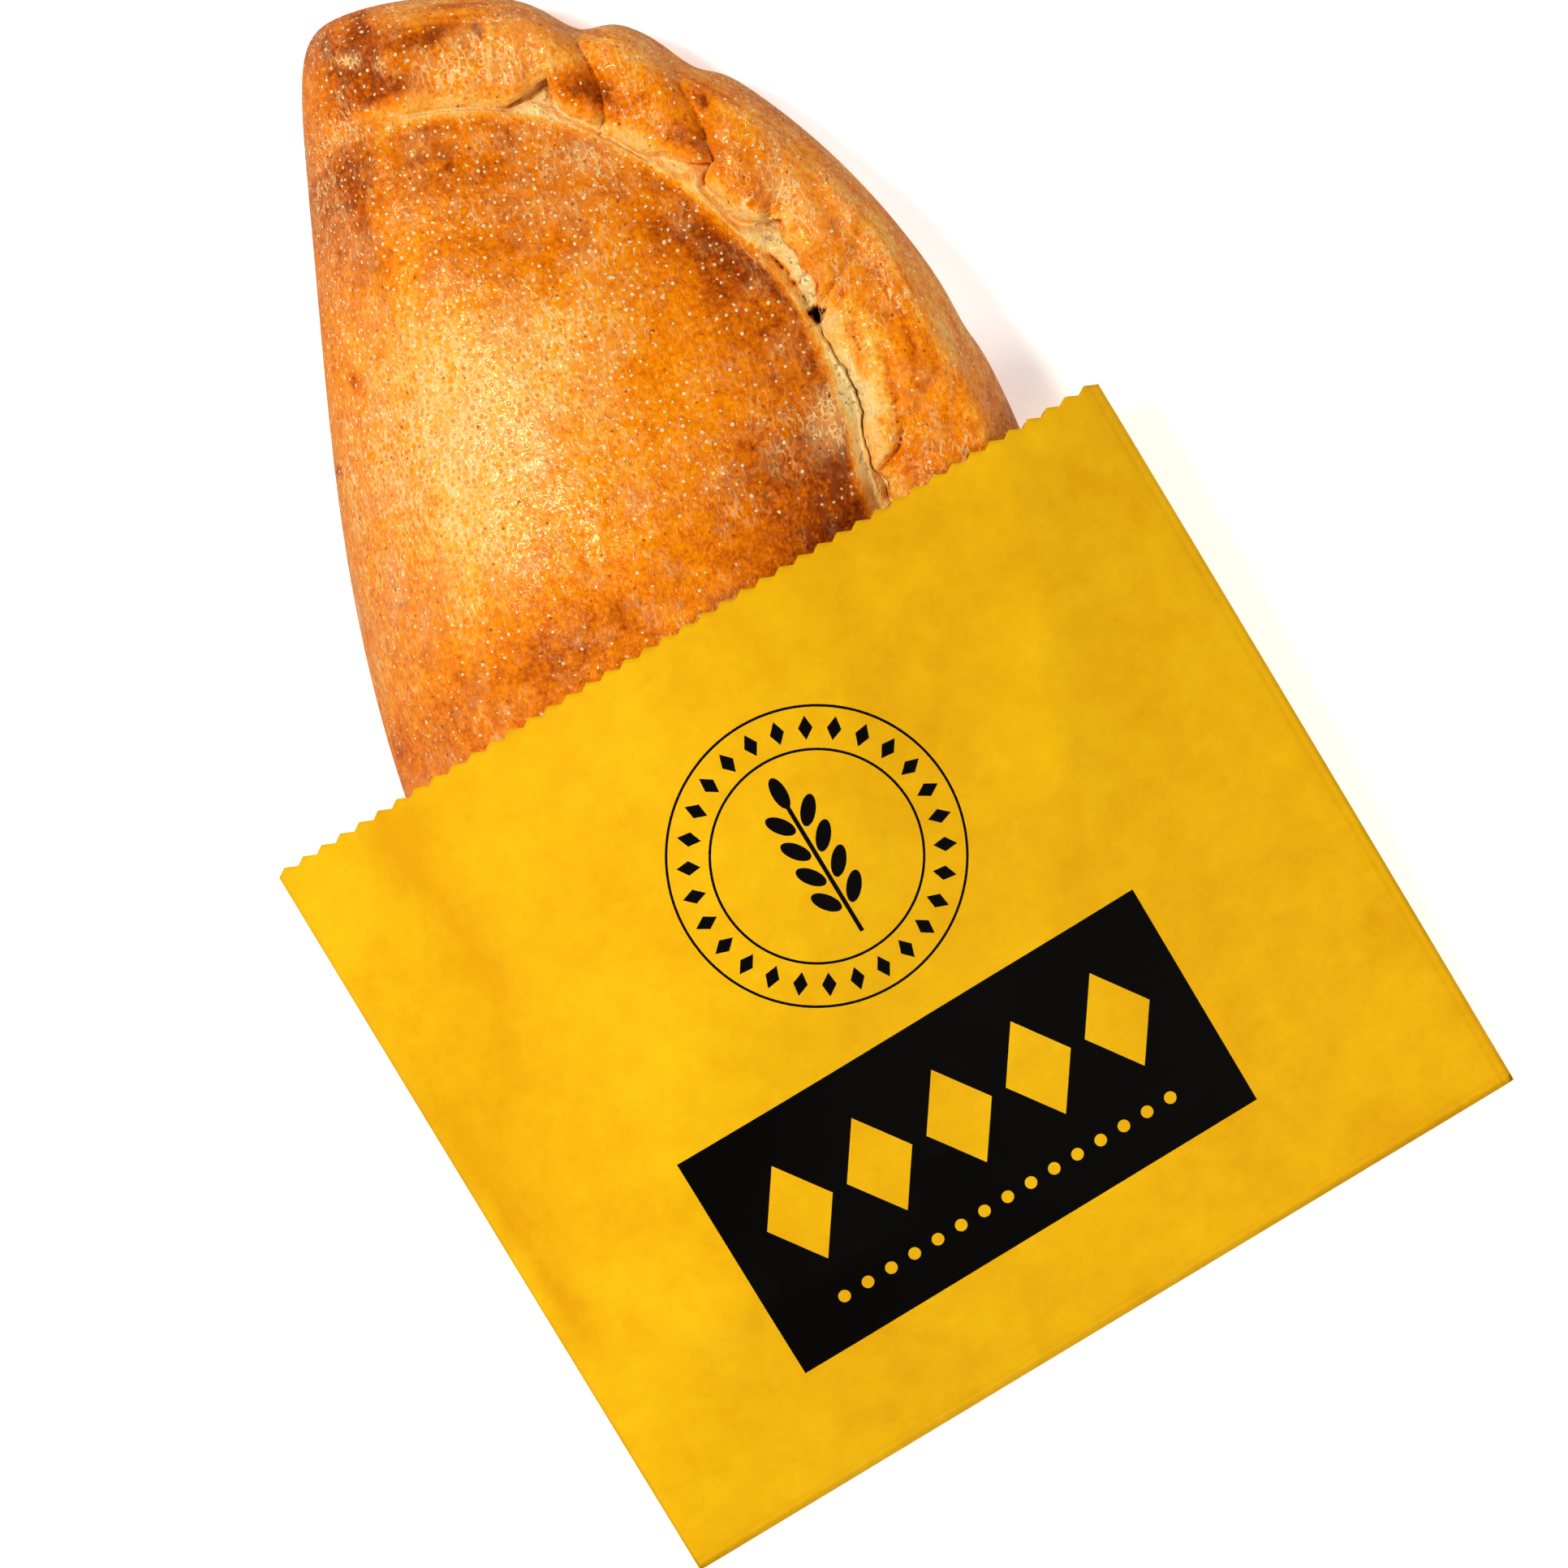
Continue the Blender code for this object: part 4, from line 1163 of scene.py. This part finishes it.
def makePaper():
    shine = {"Roughness": paper["roughness"], "Specular IOR Level": paper["gloss"]}
    material, tree, shader = newMaterial("yellow_paper", shine)
    sheet = addNode(tree, "ShaderNodeUVMap", uv_map="sheet").outputs["UV"]
    parts = addNode(tree, "ShaderNodeSeparateXYZ", {"Vector": sheet})
    u = calc(tree, "MULTIPLY", parts.outputs["X"], 100)
    v = calc(tree, "MULTIPLY", parts.outputs["Y"], 100)
    where = addNode(tree, "ShaderNodeTexCoord").outputs["Object"]
    cloud = noiseNode(tree, where, 26, 4, 0.6)
    mottledAndShaded = calc(tree, "MULTIPLY_ADD", cloud, 1.5, -0.88)
    # painted shade: darker towards the right fold, away from the key lamp
    mottledAndShaded = calc(tree, "MULTIPLY_ADD", fade(tree, u, 60, 150), -0.18, mottledAndShaded)
    # painted shade along the dents of the soft creases, and painted light on their ridges
    mottledAndShaded = calc(tree, "MULTIPLY_ADD", attribute(tree, "crease"), 0.32, mottledAndShaded)
    for size, strength in paper["flecks"]:
        fleck = noiseNode(tree, where, size, 3, 0.6, 0.4)
        mottledAndShaded = calc(tree, "MULTIPLY_ADD", fleck, strength, mottledAndShaded)
    # painted shade of the folds: darker lines just inside the foot and the right edge
    for value, side, dark in ((v, "depth", "footShade"), (u, "width", "sideShade")):
        aside = calc(tree, "SUBTRACT", value, bag[side] - paper["foldLine"])
        line = fade(tree, calc(tree, "ABSOLUTE", aside), 0.5, 0.1)
        mottledAndShaded = calc(tree, "MULTIPLY_ADD", line, -paper[dark], mottledAndShaded)
    colour = mixColour(tree, mottledAndShaded, srgb(*paper["dark"]), srgb(*paper["light"]))
    colour = mixColour(tree, printMask(tree, u, v), colour, srgb(*paper["ink"]))
    tree.links.new(colour, shader.inputs["Base Color"])
    addBump(tree, shader, noiseNode(tree, where, paper["fibre"], 3, 0.6), 0.25, 0.1 * mm)
    return material


view = {
    "centre": (0.4, -19.8),  # mm
    "height": 15.0,
    "across": 247.7,
    "turn": -31.08,
    "lens": 300.0,
}

studio = {
    "floorSize": 6.0,
    "floorDrop": 0.2,  # mm
    "floorColour": 0.88,
    "floorGlow": 0.52,
    # each lamp's place in the view, in metres, its size and its power
    "key": ((-1.3, 0.3, 1.85), 0.5, 38),
    "fill": ((0.8, -0.5, 1.2), 0.7, 9),
}


def addLamp(name):
    place, size, power = studio[name]
    data = bpy.data.lights.new(name, "AREA")
    data.shape = "DISK"
    data.size, data.energy = size, power
    lamp = addObject(name, data)
    lamp.location = Matrix.Rotation(math.radians(view["turn"]), 3, "Z") @ Vector(place)
    lamp.rotation_euler = (-lamp.location).to_track_quat("-Z", "Y").to_euler()
    lamp.visible_camera = False


def buildStage():
    bm = bmesh.new()
    bmesh.ops.create_grid(bm, x_segments=1, y_segments=1, size=studio["floorSize"])
    floor = addObject("floor", meshFrom(bm, "floor"))
    floor.location.z = -studio["floorDrop"] * mm
    floor.visible_glossy = False  # the glaze mirrors the dim room below it instead
    look = {"Base Color": (*[studio["floorColour"]] * 3, 1), "Roughness": 0.8}
    look.update({"Specular IOR Level": 0.0, "Emission Color": (1, 1, 1, 1)})
    look["Emission Strength"] = studio["floorGlow"]
    floor.data.materials.append(newMaterial("pale_floor", look)[0])
    world = bpy.data.worlds.new("studio")
    world.use_nodes = True
    tree = world.node_tree
    away = addNode(tree, "ShaderNodeTexCoord").outputs["Generated"]
    up = addNode(tree, "ShaderNodeSeparateXYZ", {"Vector": away}).outputs["Z"]
    # dim straight above, brighter towards the level, and dimmer again below it
    above = fade(tree, up, 0.15, 0.85, 0.52, 0.04)
    strength = calc(tree, "MULTIPLY", above, fade(tree, up, -0.1, 0.02, 0.35))
    tree.links.new(strength, tree.nodes["Background"].inputs["Strength"])
    tree.nodes["Background"].inputs["Color"].default_value = (1, 1, 1, 1)
    bpy.context.scene.world = world
    addLamp("key")
    addLamp("fill")
    print("stage: the floor, the room and two lamps")


def addCamera():
    data = bpy.data.cameras.new("camera")
    data.lens = view["lens"]
    data.clip_end = 50
    camera = addObject("camera", data)
    away = view["across"] / data.sensor_width * data.lens
    camera.location = Vector((*view["centre"], view["height"] + away)) * mm
    camera.rotation_euler = (0, 0, math.radians(view["turn"]))
    bpy.context.scene.camera = camera
    bpy.context.scene.view_settings.view_transform = "Standard"
    print("camera: straight above,", round(away), "mm away")


buildStage()
addCamera()
crustPiece = buildPasty(makeCrust())
buildBag(makePaper(), crustPiece)
